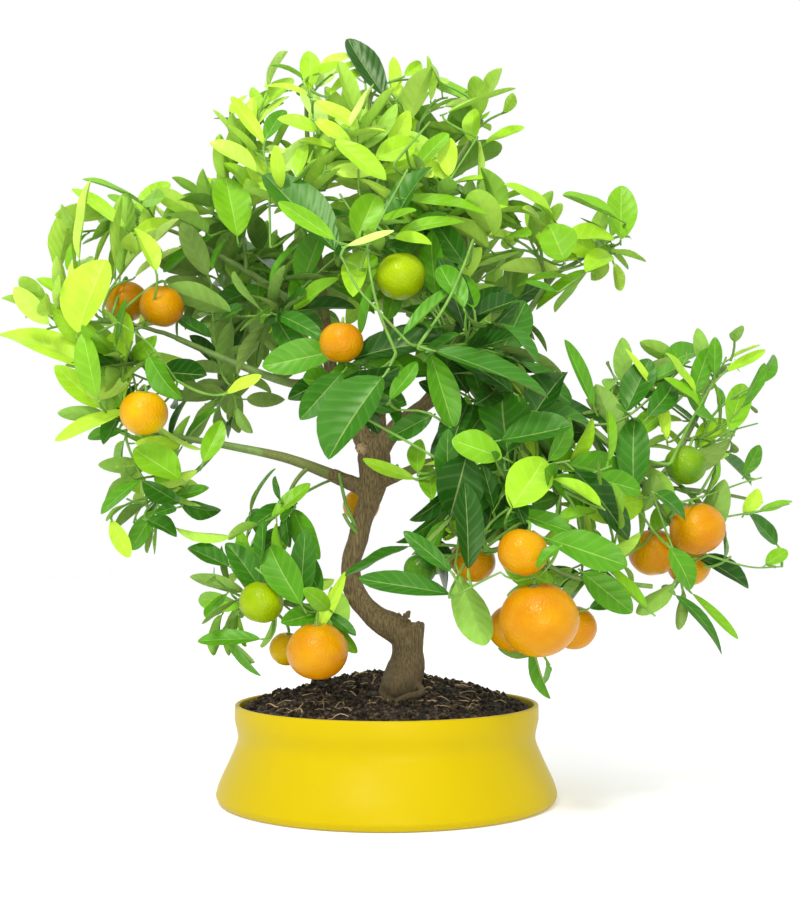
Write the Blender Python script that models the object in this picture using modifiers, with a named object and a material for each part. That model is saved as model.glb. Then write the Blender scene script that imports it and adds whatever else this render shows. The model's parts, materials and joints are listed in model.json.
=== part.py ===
"""A calamondin orange tree standing in its low yellow pot.

The trunk leans and forks, each bough is one tapering limb, and every mass of foliage is one
closed solid: a stem that starts just clear of its bough, shoots that branch from it by a seeded
rule, leaves and fruit. Metres, +Z up. The pot stands on Z = 0 with its axis on Z, the crown's
widest side lies along X, and the side the tree is usually seen from faces -Y.
"""
import math
import random
from typing import NamedTuple

import bmesh
import bpy
from mathutils import Matrix, Vector
from mathutils.bvhtree import BVHTree

UP = Vector((0.0, 0.0, 1.0))
GAP = 0.0003

# Pot and soil
POT_RIM_Z = 0.060
POT_RIM_RADIUS = 0.0970
POT_BAND_Z = 0.051
POT_WAIST_Z = 0.0385
POT_WAIST_RADIUS = 0.0948
POT_SKIRT_Z = 0.004
POT_SKIRT_RADIUS = 0.1085
POT_FOOT_RADIUS = 0.1065
POT_WALL = 0.003
POT_FLOOR = 0.004
POT_STEPS = 32
SOIL_EDGE_Z = 0.053
SOIL_SHOULDER = (0.062, 0.0600)
SOIL_TOP_RADIUS = 0.037
GROUND_Z = 0.0628
GROUND_BLOCK = 0.2

# Trunk: centre line and radius, from below the cut at ground level to the fork
TRUNK_LINE = (
    ((0.008, -0.012, 0.054), 0.0154), ((0.008, -0.012, 0.062), 0.0141),
    ((0.009, -0.012, 0.070), 0.0126), ((0.010, -0.012, 0.076), 0.0118),
    ((0.013, -0.011, 0.085), 0.0096), ((0.013, -0.010, 0.093), 0.0093),
    ((0.012, -0.009, 0.101), 0.0093), ((0.006, -0.007, 0.107), 0.0077),
    ((-0.005, -0.005, 0.113), 0.0067), ((-0.015, -0.003, 0.122), 0.0069),
    ((-0.021, -0.001, 0.131), 0.0065), ((-0.023, 0.000, 0.140), 0.0061),
    ((-0.023, 0.000, 0.151), 0.0064), ((-0.019, 0.000, 0.164), 0.0065),
    ((-0.016, 0.000, 0.177), 0.0065), ((-0.012, 0.000, 0.188), 0.0068),
    ((-0.009, 0.000, 0.199), 0.0081), ((-0.008, 0.000, 0.211), 0.0102),
    ((-0.009, 0.000, 0.222), 0.0106), ((-0.009, 0.000, 0.229), 0.0085),
)
TRUNK_STUB = (((0.014, -0.010, 0.088), 0.0084), ((0.016, -0.009, 0.111), 0.0083))
TRUNK_KNOT = ((-0.018, -0.008, 0.222), 0.0040)
SURFACE_ROOT = (((0.016, -0.014, 0.076), 0.0022), ((0.020, -0.026, 0.069), 0.0020),
                ((0.009, -0.031, 0.068), 0.0020), ((0.001, -0.034, 0.060), 0.0016))

TRUNK_ROUNDNESS = 4
KNOT_SEGMENTS = 8
KNOT_RINGS = 6
STUB_ROUNDNESS = 3
LIMB_ROUNDNESS = 1
LIMB_STEP = 0.026
ROOT_STEP = 0.006
SHARP_EDGE = math.radians(40)

# Leaves: sizes as shares of a leaf's length, and the pulls that set how a leaf lies
LEAF_WIDTH = 0.56
LEAF_THICKNESS = 0.022
LEAF_SPINE = 0.16
LEAF_FOLD = 0.05
LEAF_DROOP = 0.07
LEAF_SUNK = 0.0005
LEAF_MARGIN = 1.05
LEAF_SPREAD = 1.25
LEAF_TRIES = 20
LARGEST_LEAF = 1.2
SMALLEST_LEAF = 0.8
LEAF_PLACES = (1.0, 0.8, 0.6, 0.4)
LEAF_FORWARD = 0.7
LEAF_ASIDE = 1.0
TIP_LEAF_ASIDE = 0.3
LEAF_OUTWARD = 0.5
FACE_UP = 0.6
FACE_OPEN_SIDE = 0.9
FACE_OUTWARD = 0.5
FACE_ASIDE = 0.3
BLADE_FACE = Vector((0.0, -0.8, 0.6))
CROWN_CENTRE = Vector((0.0, 0.0, 0.25))
SPIRAL = math.radians(137.5)

# Twigs: a stem for each mass, shoots that bear leaves, and stalks that bear fruit and broad leaves
STEM_SEED = 5
STEM_TRIES = 40
STEM_RADIUS = 0.0021
STEM_PIECES = 3
STEM_FORWARD = 0.45
STEM_STRAY = 0.05
STEM_MOST_STRAY = 0.6
SHOOT_TRIES = 20
SHOOT_RADIUS = 0.0012
SHOOT_TIP_RADIUS = 0.0010
SHOOT_REACH = 0.5
SHOOT_PLACES = (0.4, 0.95)
SHOOT_BAND = (0.25, 0.75)
SHOOT_STRAY = 0.5
STALK_PLACES = (0.8, 0.6, 1.0, 0.4, 0.9, 0.2, 0.7, 0.5, 0.3)
STALK_PIECES = 2
STALK_BOW = 0.45

# Fruit
FRUIT_FLATTENED = 0.93
FRUIT_SEGMENTS = 8
FRUIT_RINGS = 4
FRUIT_HOLD = 0.55


class Limb(NamedTuple):
    name: str
    parent: str
    route: tuple
    thick: float
    thin: float


class Mass(NamedTuple):
    name: str
    limb: str
    at: float
    heart: tuple
    reach: tuple
    leaf: float
    shoots: int


class Blade(NamedTuple):
    mass: str
    base: tuple
    tip: tuple
    width: float


class Fruit(NamedTuple):
    mass: str
    centre: tuple
    diameter: float


LIMBS = (
    Limb("leader_left", "trunk", ((-0.011, 0.0, 0.222), (-0.023, 0.002, 0.244), (-0.034, 0.004, 0.264),
         (-0.039, 0.006, 0.289), (-0.043, 0.006, 0.323), (-0.051, 0.002, 0.396), (-0.053, 0.0, 0.43)),
         0.0056, 0.0018),
    Limb("leader_centre", "trunk", ((-0.006, 0.007, 0.222), (-0.005, 0.014, 0.253), (0.0, 0.014, 0.291),
         (0.0, 0.01, 0.323), (-0.009, 0.0, 0.395), (-0.011, -0.004, 0.424)), 0.0046, 0.0018),
    Limb("leader_right", "trunk", ((-0.006, 0.0, 0.222), (0.008, -0.004, 0.239), (0.026, -0.01, 0.252),
         (0.044, -0.018, 0.262), (0.064, -0.028, 0.265)), 0.0052, 0.0034),
    Limb("left_low_limb", "trunk", ((-0.014, 0.0, 0.197), (-0.04, 0.004, 0.208), (-0.067, 0.008, 0.218),
         (-0.104, 0.01, 0.226), (-0.136, 0.002, 0.231)), 0.0042, 0.0019),
    Limb("left_mid_limb", "leader_left", ((-0.036, 0.005, 0.275), (-0.056, 0.007, 0.267),
         (-0.078, 0.01, 0.272), (-0.116, 0.006, 0.287), (-0.138, -0.002, 0.296)), 0.0032, 0.0018),
    Limb("left_high_limb", "leader_left", ((-0.04, 0.006, 0.303), (-0.063, 0.02, 0.323),
         (-0.089, 0.032, 0.343), (-0.131, 0.028, 0.367)), 0.0028, 0.0017),
    Limb("crown_right_limb", "leader_centre", ((0.0, 0.01, 0.32), (0.014, 0.014, 0.358),
         (0.03, 0.016, 0.393), (0.046, 0.014, 0.418)), 0.0024, 0.0016),
    Limb("upright_right", "leader_right", ((0.039, -0.016, 0.26), (0.046, -0.022, 0.288),
         (0.051, -0.024, 0.318), (0.052, -0.028, 0.35)), 0.0028, 0.0018),
    Limb("fan_limb", "leader_right", ((0.056, -0.023, 0.264), (0.075, -0.014, 0.287),
         (0.109, 0.008, 0.337), (0.124, 0.013, 0.348)), 0.0027, 0.0017),
    Limb("right_limb", "leader_right", ((0.058, -0.026, 0.265), (0.094, -0.034, 0.257),
         (0.117, -0.04, 0.24), (0.143, -0.044, 0.217), (0.168, -0.05, 0.182)), 0.0032, 0.0019),
    Limb("far_limb", "right_limb", ((0.15, -0.045, 0.21), (0.175, -0.04, 0.212),
         (0.191, -0.034, 0.234), (0.202, -0.028, 0.256)), 0.002, 0.0015),
    Limb("low_right_limb", "trunk", ((-0.01, 0.0, 0.199), (0.011, -0.022, 0.206),
         (0.029, -0.048, 0.211), (0.049, -0.07, 0.206), (0.065, -0.086, 0.189), (0.071, -0.092, 0.168)),
         0.0036, 0.0020),
    Limb("low_right_twig", "low_right_limb", ((0.066, -0.087, 0.186), (0.082, -0.098, 0.158),
         (0.108, -0.094, 0.142), (0.156, -0.08, 0.136)), 0.0018, 0.0014),
    Limb("low_left_limb", "trunk", ((-0.02, 0.0, 0.128), (-0.036, -0.016, 0.122),
         (-0.05, -0.028, 0.122), (-0.063, -0.033, 0.125)), 0.0028, 0.0019),
    Limb("back_left_limb", "trunk", ((-0.01, 0.002, 0.216), (-0.025, 0.03, 0.243),
         (-0.041, 0.064, 0.271), (-0.054, 0.087, 0.299)), 0.0042, 0.0023),
    Limb("back_right_limb", "leader_right", ((0.011, -0.006, 0.241), (0.027, 0.028, 0.26),
         (0.044, 0.064, 0.291), (0.054, 0.086, 0.314)), 0.0034, 0.0022),
)

MASSES = (
    Mass("crest_left", "leader_left", 1.0, (-0.054, 0.0, 0.467), (0.023, 0.045, 0.025), 0.042, 5),
    Mass("shoulder_left", "leader_left", 0.78, (-0.092, 0.01, 0.439), (0.024, 0.045, 0.029), 0.044, 5),
    Mass("crown_left", "leader_left", 0.6, (-0.058, -0.03, 0.387), (0.03, 0.055, 0.034), 0.055, 5),
    Mass("centre_left", "leader_left", 0.45, (-0.065, -0.02, 0.308), (0.028, 0.05, 0.039), 0.05, 5),
    Mass("centre_front", "leader_left", 0.22, (-0.023, -0.085, 0.252), (0.033, 0.045, 0.035), 0.058, 5),
    Mass("crest", "leader_centre", 1.0, (-0.011, -0.01, 0.461), (0.026, 0.05, 0.026), 0.046, 5),
    Mass("crown_centre", "leader_centre", 0.85, (-0.017, -0.02, 0.408), (0.029, 0.055, 0.032), 0.05, 5),
    Mass("back_top", "leader_centre", 0.75, (0.008, 0.08, 0.415), (0.048, 0.055, 0.054), 0.055, 6),
    Mass("centre_fruited", "leader_centre", 0.6, (0.0, -0.065, 0.332), (0.031, 0.05, 0.034), 0.052, 5),
    Mass("crest_right", "crown_right_limb", 0.75, (0.021, 0.03, 0.451), (0.026, 0.05, 0.039), 0.05, 5),
    Mass("crown_right_tip", "crown_right_limb", 1.0, (0.064, 0.01, 0.446), (0.029, 0.05, 0.028), 0.05, 5),
    Mass("crown_right", "upright_right", 1.0, (0.038, -0.03, 0.383), (0.035, 0.055, 0.026), 0.05, 5),
    Mass("centre_mid", "upright_right", 0.6, (0.035, 0.0, 0.338), (0.029, 0.05, 0.033), 0.05, 5),
    Mass("shoulder_low", "left_high_limb", 0.6, (-0.105, 0.02, 0.384), (0.024, 0.05, 0.032), 0.048, 5),
    Mass("left_spray", "left_high_limb", 1.0, (-0.169, 0.01, 0.376), (0.045, 0.055, 0.032), 0.048, 5),
    Mass("left_inner", "left_high_limb", 0.35, (-0.113, 0.055, 0.335), (0.04, 0.06, 0.039), 0.048, 5),
    Mass("left_tip", "left_mid_limb", 1.0, (-0.19, -0.016, 0.304), (0.052, 0.052, 0.04), 0.055, 7),
    Mass("left_inner_low", "left_mid_limb", 0.5, (-0.108, 0.03, 0.264), (0.036, 0.055, 0.028), 0.048, 5),
    Mass("left_tip_low", "left_low_limb", 1.0, (-0.177, -0.025, 0.243), (0.038, 0.045, 0.021), 0.05, 4),
    Mass("left_drop", "left_low_limb", 0.8, (-0.148, 0.0, 0.193), (0.038, 0.055, 0.038), 0.042, 5),
    Mass("hanging", "left_low_limb", 0.35, (-0.065, -0.01, 0.18), (0.026, 0.04, 0.027), 0.04, 4),
    Mass("centre_right", "leader_right", 0.6, (0.048, -0.075, 0.28), (0.037, 0.045, 0.034), 0.058, 5),
    Mass("right_dark", "leader_right", 0.85, (0.083, -0.065, 0.236), (0.04, 0.05, 0.032), 0.056, 6),
    Mass("fan", "fan_limb", 0.7, (0.098, -0.01, 0.349), (0.037, 0.06, 0.039), 0.054, 5),
    Mass("fan_tip", "fan_limb", 1.0, (0.148, 0.02, 0.362), (0.027, 0.045, 0.037), 0.046, 5),
    Mass("right_dark_low", "low_right_limb", 0.5, (0.043, -0.09, 0.201), (0.028, 0.045, 0.029), 0.05, 4),
    Mass("right_light", "low_right_limb", 0.7, (0.101, -0.105, 0.191), (0.033, 0.045, 0.024), 0.054, 5),
    Mass("low_right", "low_right_limb", 1.0, (0.046, -0.085, 0.157), (0.05, 0.052, 0.031), 0.05, 5),
    Mass("low_right_fruit", "low_right_twig", 0.35, (0.088, -0.1, 0.114), (0.033, 0.05, 0.036), 0.042, 4),
    Mass("low_right_out", "low_right_twig", 0.65, (0.128, -0.085, 0.145), (0.028, 0.045, 0.027), 0.05, 4),
    Mass("right_column", "right_limb", 0.55, (0.143, -0.055, 0.217), (0.022, 0.045, 0.034), 0.05, 5),
    Mass("far_rise", "right_limb", 0.4, (0.161, -0.01, 0.262), (0.036, 0.045, 0.031), 0.048, 4),
    Mass("far_fruited", "right_limb", 1.0, (0.183, -0.055, 0.148), (0.039, 0.05, 0.041), 0.05, 5),
    Mass("far_tip", "right_limb", 0.85, (0.241, -0.01, 0.188), (0.024, 0.04, 0.037), 0.04, 4),
    Mass("far_mid", "far_limb", 0.55, (0.195, -0.04, 0.227), (0.033, 0.045, 0.026), 0.042, 5),
    Mass("far_top", "far_limb", 1.0, (0.217, -0.02, 0.274), (0.03, 0.045, 0.027), 0.042, 5),
    Mass("low_left", "low_left_limb", 1.0, (-0.084, -0.03, 0.126), (0.036, 0.055, 0.043), 0.048, 6),
    Mass("low_left_fruit", "low_left_limb", 0.5, (-0.041, -0.06, 0.12), (0.027, 0.05, 0.04), 0.048, 5),
    Mass("back_left", "back_left_limb", 1.0, (-0.074, 0.11, 0.335), (0.062, 0.058, 0.062), 0.055, 7),
    Mass("back_right", "back_right_limb", 1.0, (0.061, 0.11, 0.33), (0.059, 0.058, 0.066), 0.055, 7),
    Mass("back_low", "back_right_limb", 0.45, (0.09, 0.07, 0.24), (0.042, 0.05, 0.034), 0.05, 4),
)

FRUITS = (
    Fruit("left_tip", (-0.174, 0.012, 0.323), 0.029),
    Fruit("left_tip", (-0.146, -0.012, 0.315), 0.029),
    Fruit("left_tip_low", (-0.150, -0.045, 0.242), 0.030),
    Fruit("centre_front", (-0.026, -0.088, 0.279), 0.026),
    Fruit("centre_fruited", (0.009, -0.075, 0.321), 0.030),
    Fruit("low_left", (-0.075, -0.058, 0.126), 0.027),
    Fruit("low_left_fruit", (-0.040, -0.075, 0.098), 0.036),
    Fruit("low_left", (-0.062, -0.028, 0.096), 0.022),
    Fruit("low_right", (0.020, -0.085, 0.146), 0.019),
    Fruit("low_right", (0.052, -0.068, 0.151), 0.027),
    Fruit("low_right", (0.076, -0.128, 0.156), 0.028),
    Fruit("low_right_fruit", (0.085, -0.125, 0.119), 0.044),
    Fruit("low_right_fruit", (0.075, -0.078, 0.112), 0.030),
    Fruit("low_right_fruit", (0.110, -0.080, 0.112), 0.027),
    Fruit("far_fruited", (0.186, -0.068, 0.170), 0.033),
    Fruit("far_fruited", (0.165, -0.040, 0.156), 0.031),
    Fruit("far_fruited", (0.189, -0.030, 0.148), 0.027),
    Fruit("far_mid", (0.179, -0.070, 0.208), 0.025),
    Fruit("hanging", (-0.018, 0.042, 0.188), 0.025),
)

# Broad leaves that mark the crown's face: from base to tip, with their width
BLADES = (
    Blade("left_tip", (-0.192, -0.045, 0.291), (-0.179, -0.05, 0.338), 0.033),
    Blade("left_tip", (-0.186, -0.03, 0.271), (-0.239, -0.03, 0.305), 0.024),
    Blade("left_spray", (-0.169, 0.02, 0.381), (-0.151, 0.03, 0.413), 0.018),
    Blade("left_spray", (-0.146, -0.035, 0.334), (-0.159, -0.03, 0.365), 0.015),
    Blade("shoulder_low", (-0.097, -0.015, 0.359), (-0.105, -0.005, 0.407), 0.026),
    Blade("shoulder_left", (-0.085, -0.01, 0.404), (-0.114, -0.015, 0.425), 0.016),
    Blade("crest_left", (-0.051, -0.01, 0.459), (-0.051, -0.005, 0.491), 0.014),
    Blade("crown_left", (-0.029, -0.075, 0.335), (-0.073, -0.06, 0.39), 0.031),
    Blade("crest", (0.001, -0.02, 0.448), (-0.025, -0.005, 0.49), 0.019),
    Blade("crown_right_tip", (0.038, -0.02, 0.44), (0.081, -0.035, 0.452), 0.019),
    Blade("crown_centre", (-0.018, -0.065, 0.346), (-0.007, -0.06, 0.374), 0.022),
    Blade("crown_right", (0.01, -0.07, 0.37), (0.062, -0.075, 0.368), 0.015),
    Blade("fan", (0.111, -0.04, 0.34), (0.102, -0.045, 0.362), 0.025),
    Blade("fan_tip", (0.155, 0.005, 0.363), (0.157, 0.01, 0.402), 0.021),
    Blade("centre_front", (0.0, -0.105, 0.258), (-0.033, -0.12, 0.215), 0.035),
    Blade("centre_front", (-0.027, -0.064, 0.278), (-0.072, -0.072, 0.269), 0.022),
    Blade("centre_right", (0.025, -0.1, 0.273), (0.09, -0.115, 0.252), 0.022),
    Blade("centre_right", (0.026, -0.09, 0.272), (0.041, -0.095, 0.229), 0.019),
    Blade("right_dark", (0.071, -0.09, 0.214), (0.068, -0.08, 0.255), 0.031),
    Blade("right_dark", (0.065, -0.1, 0.22), (0.105, -0.105, 0.226), 0.028),
    Blade("right_dark", (0.087, -0.08, 0.236), (0.106, -0.07, 0.265), 0.027),
    Blade("right_dark_low", (0.066, -0.115, 0.209), (0.038, -0.12, 0.219), 0.02),
    Blade("right_dark_low", (0.046, -0.11, 0.21), (0.037, -0.115, 0.176), 0.028),
    Blade("low_right", (0.046, -0.125, 0.146), (0.047, -0.125, 0.194), 0.018),
    Blade("right_light", (0.07, -0.125, 0.18), (0.09, -0.12, 0.21), 0.025),
    Blade("right_light", (0.089, -0.12, 0.164), (0.132, -0.125, 0.15), 0.022),
    Blade("low_right_out", (0.114, -0.095, 0.144), (0.141, -0.1, 0.121), 0.018),
    Blade("right_column", (0.145, -0.085, 0.192), (0.146, -0.08, 0.238), 0.02),
    Blade("far_rise", (0.15, -0.036, 0.244), (0.166, -0.03, 0.277), 0.021),
    Blade("far_fruited", (0.191, -0.05, 0.152), (0.223, -0.055, 0.14), 0.016),
    Blade("low_left", (-0.075, -0.034, 0.132), (-0.097, -0.03, 0.162), 0.02),
    Blade("low_left", (-0.049, -0.07, 0.123), (-0.072, -0.06, 0.159), 0.021),
    Blade("left_drop", (-0.128, -0.035, 0.201), (-0.156, -0.04, 0.221), 0.024),
)


def clear_scene():
    for thing in list(bpy.data.objects):
        bpy.data.objects.remove(thing, do_unlink=True)


def new_collection(name):
    group = bpy.data.collections.new(name)
    bpy.context.scene.collection.children.link(group)
    return group


def material(name, colour, roughness):
    made = bpy.data.materials.new(name)
    made.use_nodes = True
    shader = made.node_tree.nodes["Principled BSDF"]
    shader.inputs["Base Color"].default_value = (*colour, 1.0)
    shader.inputs["Roughness"].default_value = roughness
    shader.inputs["Metallic"].default_value = 0.0
    return made


def add_object(name, mesh, group):
    thing = bpy.data.objects.new(name, mesh)
    group.objects.link(thing)
    return thing


def smooth_route(points, step):
    """Points about one step apart on the smooth curve that runs through the given points."""
    anchors = [Vector(p) for p in points]
    ends = [2 * anchors[0] - anchors[1]] + anchors + [2 * anchors[-1] - anchors[-2]]
    route = []
    for a, b, c, d in zip(ends, ends[1:], ends[2:], ends[3:]):
        pieces = max(1, round((c - b).length / step))
        for i in range(pieces):
            t = i / pieces
            route.append(0.5 * (2 * b + (c - a) * t + (2 * a - 5 * b + 4 * c - d) * t ** 2
                                + (3 * b - a - 3 * c + d) * t ** 3))
    route.append(anchors[-1])
    return route


def bent_route(start, control, end, pieces):
    return [(1 - t) ** 2 * start + 2 * t * (1 - t) * control + t ** 2 * end
            for t in (i / pieces for i in range(pieces + 1))]


def along(route, share):
    """The point, and the direction, at a share of a route's points."""
    place = min(max(share, 0.0), 1.0) * (len(route) - 1)
    first = min(int(place), len(route) - 2)
    step = route[first + 1] - route[first]
    return route[first] + step * (place - first), step.normalized()


def tapered(count, thick, thin):
    return [thick + (thin - thick) * i / (count - 1) for i in range(count)]


def triangle_profile(group):
    """A three-sided section, for twigs."""
    curve = bpy.data.curves.new("twig_section", "CURVE")
    spline = curve.splines.new("POLY")
    spline.points.add(2)
    spline.use_cyclic_u = True
    for i, point in enumerate(spline.points):
        turn = -i * math.tau / 3
        point.co = (math.cos(turn), math.sin(turn), 0.0, 1.0)
    section = add_object("twig_section", curve, group)
    section.hide_render = True
    section.display_type = "WIRE"
    return section


def tube(name, route, radii, group, roundness=LIMB_ROUNDNESS, section=None):
    """A tapering tube with filled caps, as a closed mesh object."""
    curve = bpy.data.curves.new(name, "CURVE")
    curve.dimensions = "3D"
    curve.use_fill_caps = True
    if section:
        curve.bevel_mode = "OBJECT"
        curve.bevel_object = section
    else:
        curve.bevel_depth = 1.0
        curve.bevel_resolution = roundness
    spline = curve.splines.new("POLY")
    spline.points.add(len(route) - 1)
    for point, place, radius in zip(spline.points, route, radii):
        point.co = (*place, 1.0)
        point.radius = radius
    shape = add_object(name, curve, group)
    bpy.context.view_layer.update()
    evaluated = shape.evaluated_get(bpy.context.evaluated_depsgraph_get())
    mesh = bpy.data.meshes.new_from_object(evaluated)
    body = bmesh.new()
    body.from_mesh(mesh)
    bmesh.ops.remove_doubles(body, verts=body.verts, dist=1e-6)
    bmesh.ops.recalc_face_normals(body, faces=body.faces)
    body.to_mesh(mesh)
    body.free()
    solid = bpy.data.objects.new(name, mesh)
    solid.matrix_world = shape.matrix_world
    bpy.data.objects.remove(shape)
    group.objects.link(solid)
    solid.name = name
    return solid


def ball(name, centre, radius, group, segments, rings, flattened=1.0):
    body = bmesh.new()
    bmesh.ops.create_uvsphere(body, u_segments=segments, v_segments=rings, radius=radius)
    bmesh.ops.scale(body, verts=body.verts, vec=(1.0, 1.0, flattened))
    bmesh.ops.translate(body, verts=body.verts, vec=centre)
    mesh = bpy.data.meshes.new(name)
    body.to_mesh(mesh)
    body.free()
    return add_object(name, mesh, group)


def leaf_mesh():
    """A leaf of eight faces and unit length along X, folded along its rib and drooping."""
    body = bmesh.new()
    bmesh.ops.create_uvsphere(body, u_segments=4, v_segments=2, radius=1.0)
    for vert in body.verts:
        x, y, z = vert.co
        length = LEAF_SPINE if abs(z) > 0.5 else 0.5 + 0.5 * x
        height = z * LEAF_THICKNESS / 2 + abs(y) * LEAF_FOLD - max(x, 0.0) * LEAF_DROOP
        vert.co = (length, y * LEAF_WIDTH / 2, height)
    mesh = bpy.data.meshes.new("leaf")
    body.to_mesh(mesh)
    body.free()
    return mesh


def surface_of(mesh, matrix):
    mesh.calc_loop_triangles()
    corners = [matrix @ v.co for v in mesh.vertices]
    return corners, BVHTree.FromPolygons(corners, [tuple(t.vertices) for t in mesh.loop_triangles])


def smooth(mesh):
    mesh.shade_smooth()
    mesh.set_sharp_from_angle(angle=SHARP_EDGE)


def boolean(target, operation, operand=None, collection=None):
    cut = target.modifiers.new(operation.lower(), "BOOLEAN")
    cut.operation = operation
    cut.solver = "EXACT"
    if collection:
        cut.operand_type = "COLLECTION"
        cut.collection = collection
    else:
        cut.object = operand
    bpy.context.view_layer.update()
    evaluated = target.evaluated_get(bpy.context.evaluated_depsgraph_get())
    mesh = bpy.data.meshes.new_from_object(evaluated)
    target.modifiers.clear()
    target.data = mesh


def drop_scraps(mesh):
    """Keeps only the largest of a mesh's separate bodies."""
    body = bmesh.new()
    body.from_mesh(mesh)
    waiting = set(body.verts)
    largest = set()
    while waiting:
        found, following = set(), [waiting.pop()]
        while following:
            vert = following.pop()
            found.add(vert)
            linked = {edge.other_vert(vert) for edge in vert.link_edges} & waiting
            waiting -= linked
            following.extend(linked)
        largest = max(largest, found, key=len)
    scraps = [vert for vert in body.verts if vert not in largest]
    bmesh.ops.delete(body, geom=scraps, context="VERTS")
    body.to_mesh(mesh)
    body.free()


def empty_out(group):
    for thing in list(group.objects):
        bpy.data.objects.remove(thing, do_unlink=True)


def turned(name, outline, group, steps):
    """A solid turned about Z from an outline that runs down its outer side."""
    mesh = bpy.data.meshes.new(name)
    edges = [(i, i + 1) for i in range(len(outline) - 1)]
    mesh.from_pydata([(radius, 0.0, height) for radius, height in outline], edges, [])
    solid = add_object(name, mesh, group)
    screw = solid.modifiers.new("turn", "SCREW")
    screw.steps = steps
    screw.render_steps = steps
    screw.use_merge_vertices = True
    screw.merge_threshold = 0.00001
    return solid


def build_pot(group, finish):
    inner_rim = POT_RIM_RADIUS - POT_WALL
    inner_waist = POT_WAIST_RADIUS - POT_WALL
    outline = (
        (inner_rim, POT_RIM_Z), (POT_RIM_RADIUS, POT_RIM_Z), (POT_RIM_RADIUS, POT_BAND_Z),
        (POT_WAIST_RADIUS, POT_WAIST_Z), (POT_SKIRT_RADIUS, POT_SKIRT_Z), (POT_FOOT_RADIUS, 0.0),
        (0.0, 0.0),
    )
    inside = ((0.0, POT_FLOOR), (POT_SKIRT_RADIUS - POT_WALL, POT_FLOOR), (inner_waist, POT_WAIST_Z))
    pot = turned("pot", outline + inside + outline[:1], group, POT_STEPS)
    pot.data.materials.append(finish)
    return pot


def build_soil(group, finish):
    side = POT_WAIST_RADIUS - POT_WALL - 2 * GAP
    floor = POT_FLOOR + GAP
    soil_top = GROUND_Z - GAP
    outline = ((0.0, soil_top), (SOIL_TOP_RADIUS, soil_top), SOIL_SHOULDER, (side, SOIL_EDGE_Z),
               (side, floor), (0.0, floor))
    soil = turned("soil", outline, group, POT_STEPS)
    soil.data.materials.append(finish)
    return soil


def build_trunk(group, workshop, finish):
    """Leaning, flared at its foot, with a sawn stub, a pruning knot and one surface root."""
    route = [Vector(place) for place, radius in TRUNK_LINE]
    trunk = tube("trunk", route, [radius for place, radius in TRUNK_LINE], group, TRUNK_ROUNDNESS)
    stub_line = [Vector(place) for place, radius in TRUNK_STUB]
    tube("stub", stub_line, [radius for place, radius in TRUNK_STUB], workshop, STUB_ROUNDNESS)
    ball("knot", Vector(TRUNK_KNOT[0]), TRUNK_KNOT[1], workshop, KNOT_SEGMENTS, KNOT_RINGS)
    root_line = smooth_route([place for place, radius in SURFACE_ROOT], ROOT_STEP)
    thick, thin = SURFACE_ROOT[0][1], SURFACE_ROOT[-1][1]
    tube("surface_root", root_line, tapered(len(root_line), thick, thin), workshop)
    boolean(trunk, "UNION", collection=workshop)
    empty_out(workshop)
    middle = GROUND_Z - GROUND_BLOCK / 2
    bpy.ops.mesh.primitive_cube_add(size=GROUND_BLOCK, location=(0.0, 0.0, middle))
    ground = bpy.context.object
    boolean(trunk, "DIFFERENCE", operand=ground)
    bpy.data.objects.remove(ground)
    trunk.data.materials.append(finish)
    smooth(trunk.data)
    return trunk


def guard(route, radii, roundness, group):
    """A limb's shape grown by the gap all round, which cuts what starts on that limb."""
    first = route[0] + (route[0] - route[1]).normalized() * GAP
    last = route[-1] + (route[-1] - route[-2]).normalized() * GAP
    grown = [radius + 1.5 * GAP for radius in radii]
    return tube("guard", [first] + route[1:-1] + [last], grown, group, roundness)


def build_limbs(group, workshop, finish):
    """Every bough, cut clear of the limb it grows from. Returns each limb's route, radii and
    roundness."""
    line = [Vector(place) for place, radius in TRUNK_LINE]
    limbs = {"trunk": (line, [radius for place, radius in TRUNK_LINE], TRUNK_ROUNDNESS)}
    for limb in LIMBS:
        route = smooth_route(limb.route, LIMB_STEP)
        radii = tapered(len(route), limb.thick, limb.thin)
        solid = tube(limb.name, route, radii, group)
        boolean(solid, "DIFFERENCE", operand=guard(*limbs[limb.parent], workshop))
        empty_out(workshop)
        drop_scraps(solid.data)
        solid.data.materials.append(finish)
        smooth(solid.data)
        limbs[limb.name] = (route, radii, LIMB_ROUNDNESS)
    return limbs


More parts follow.
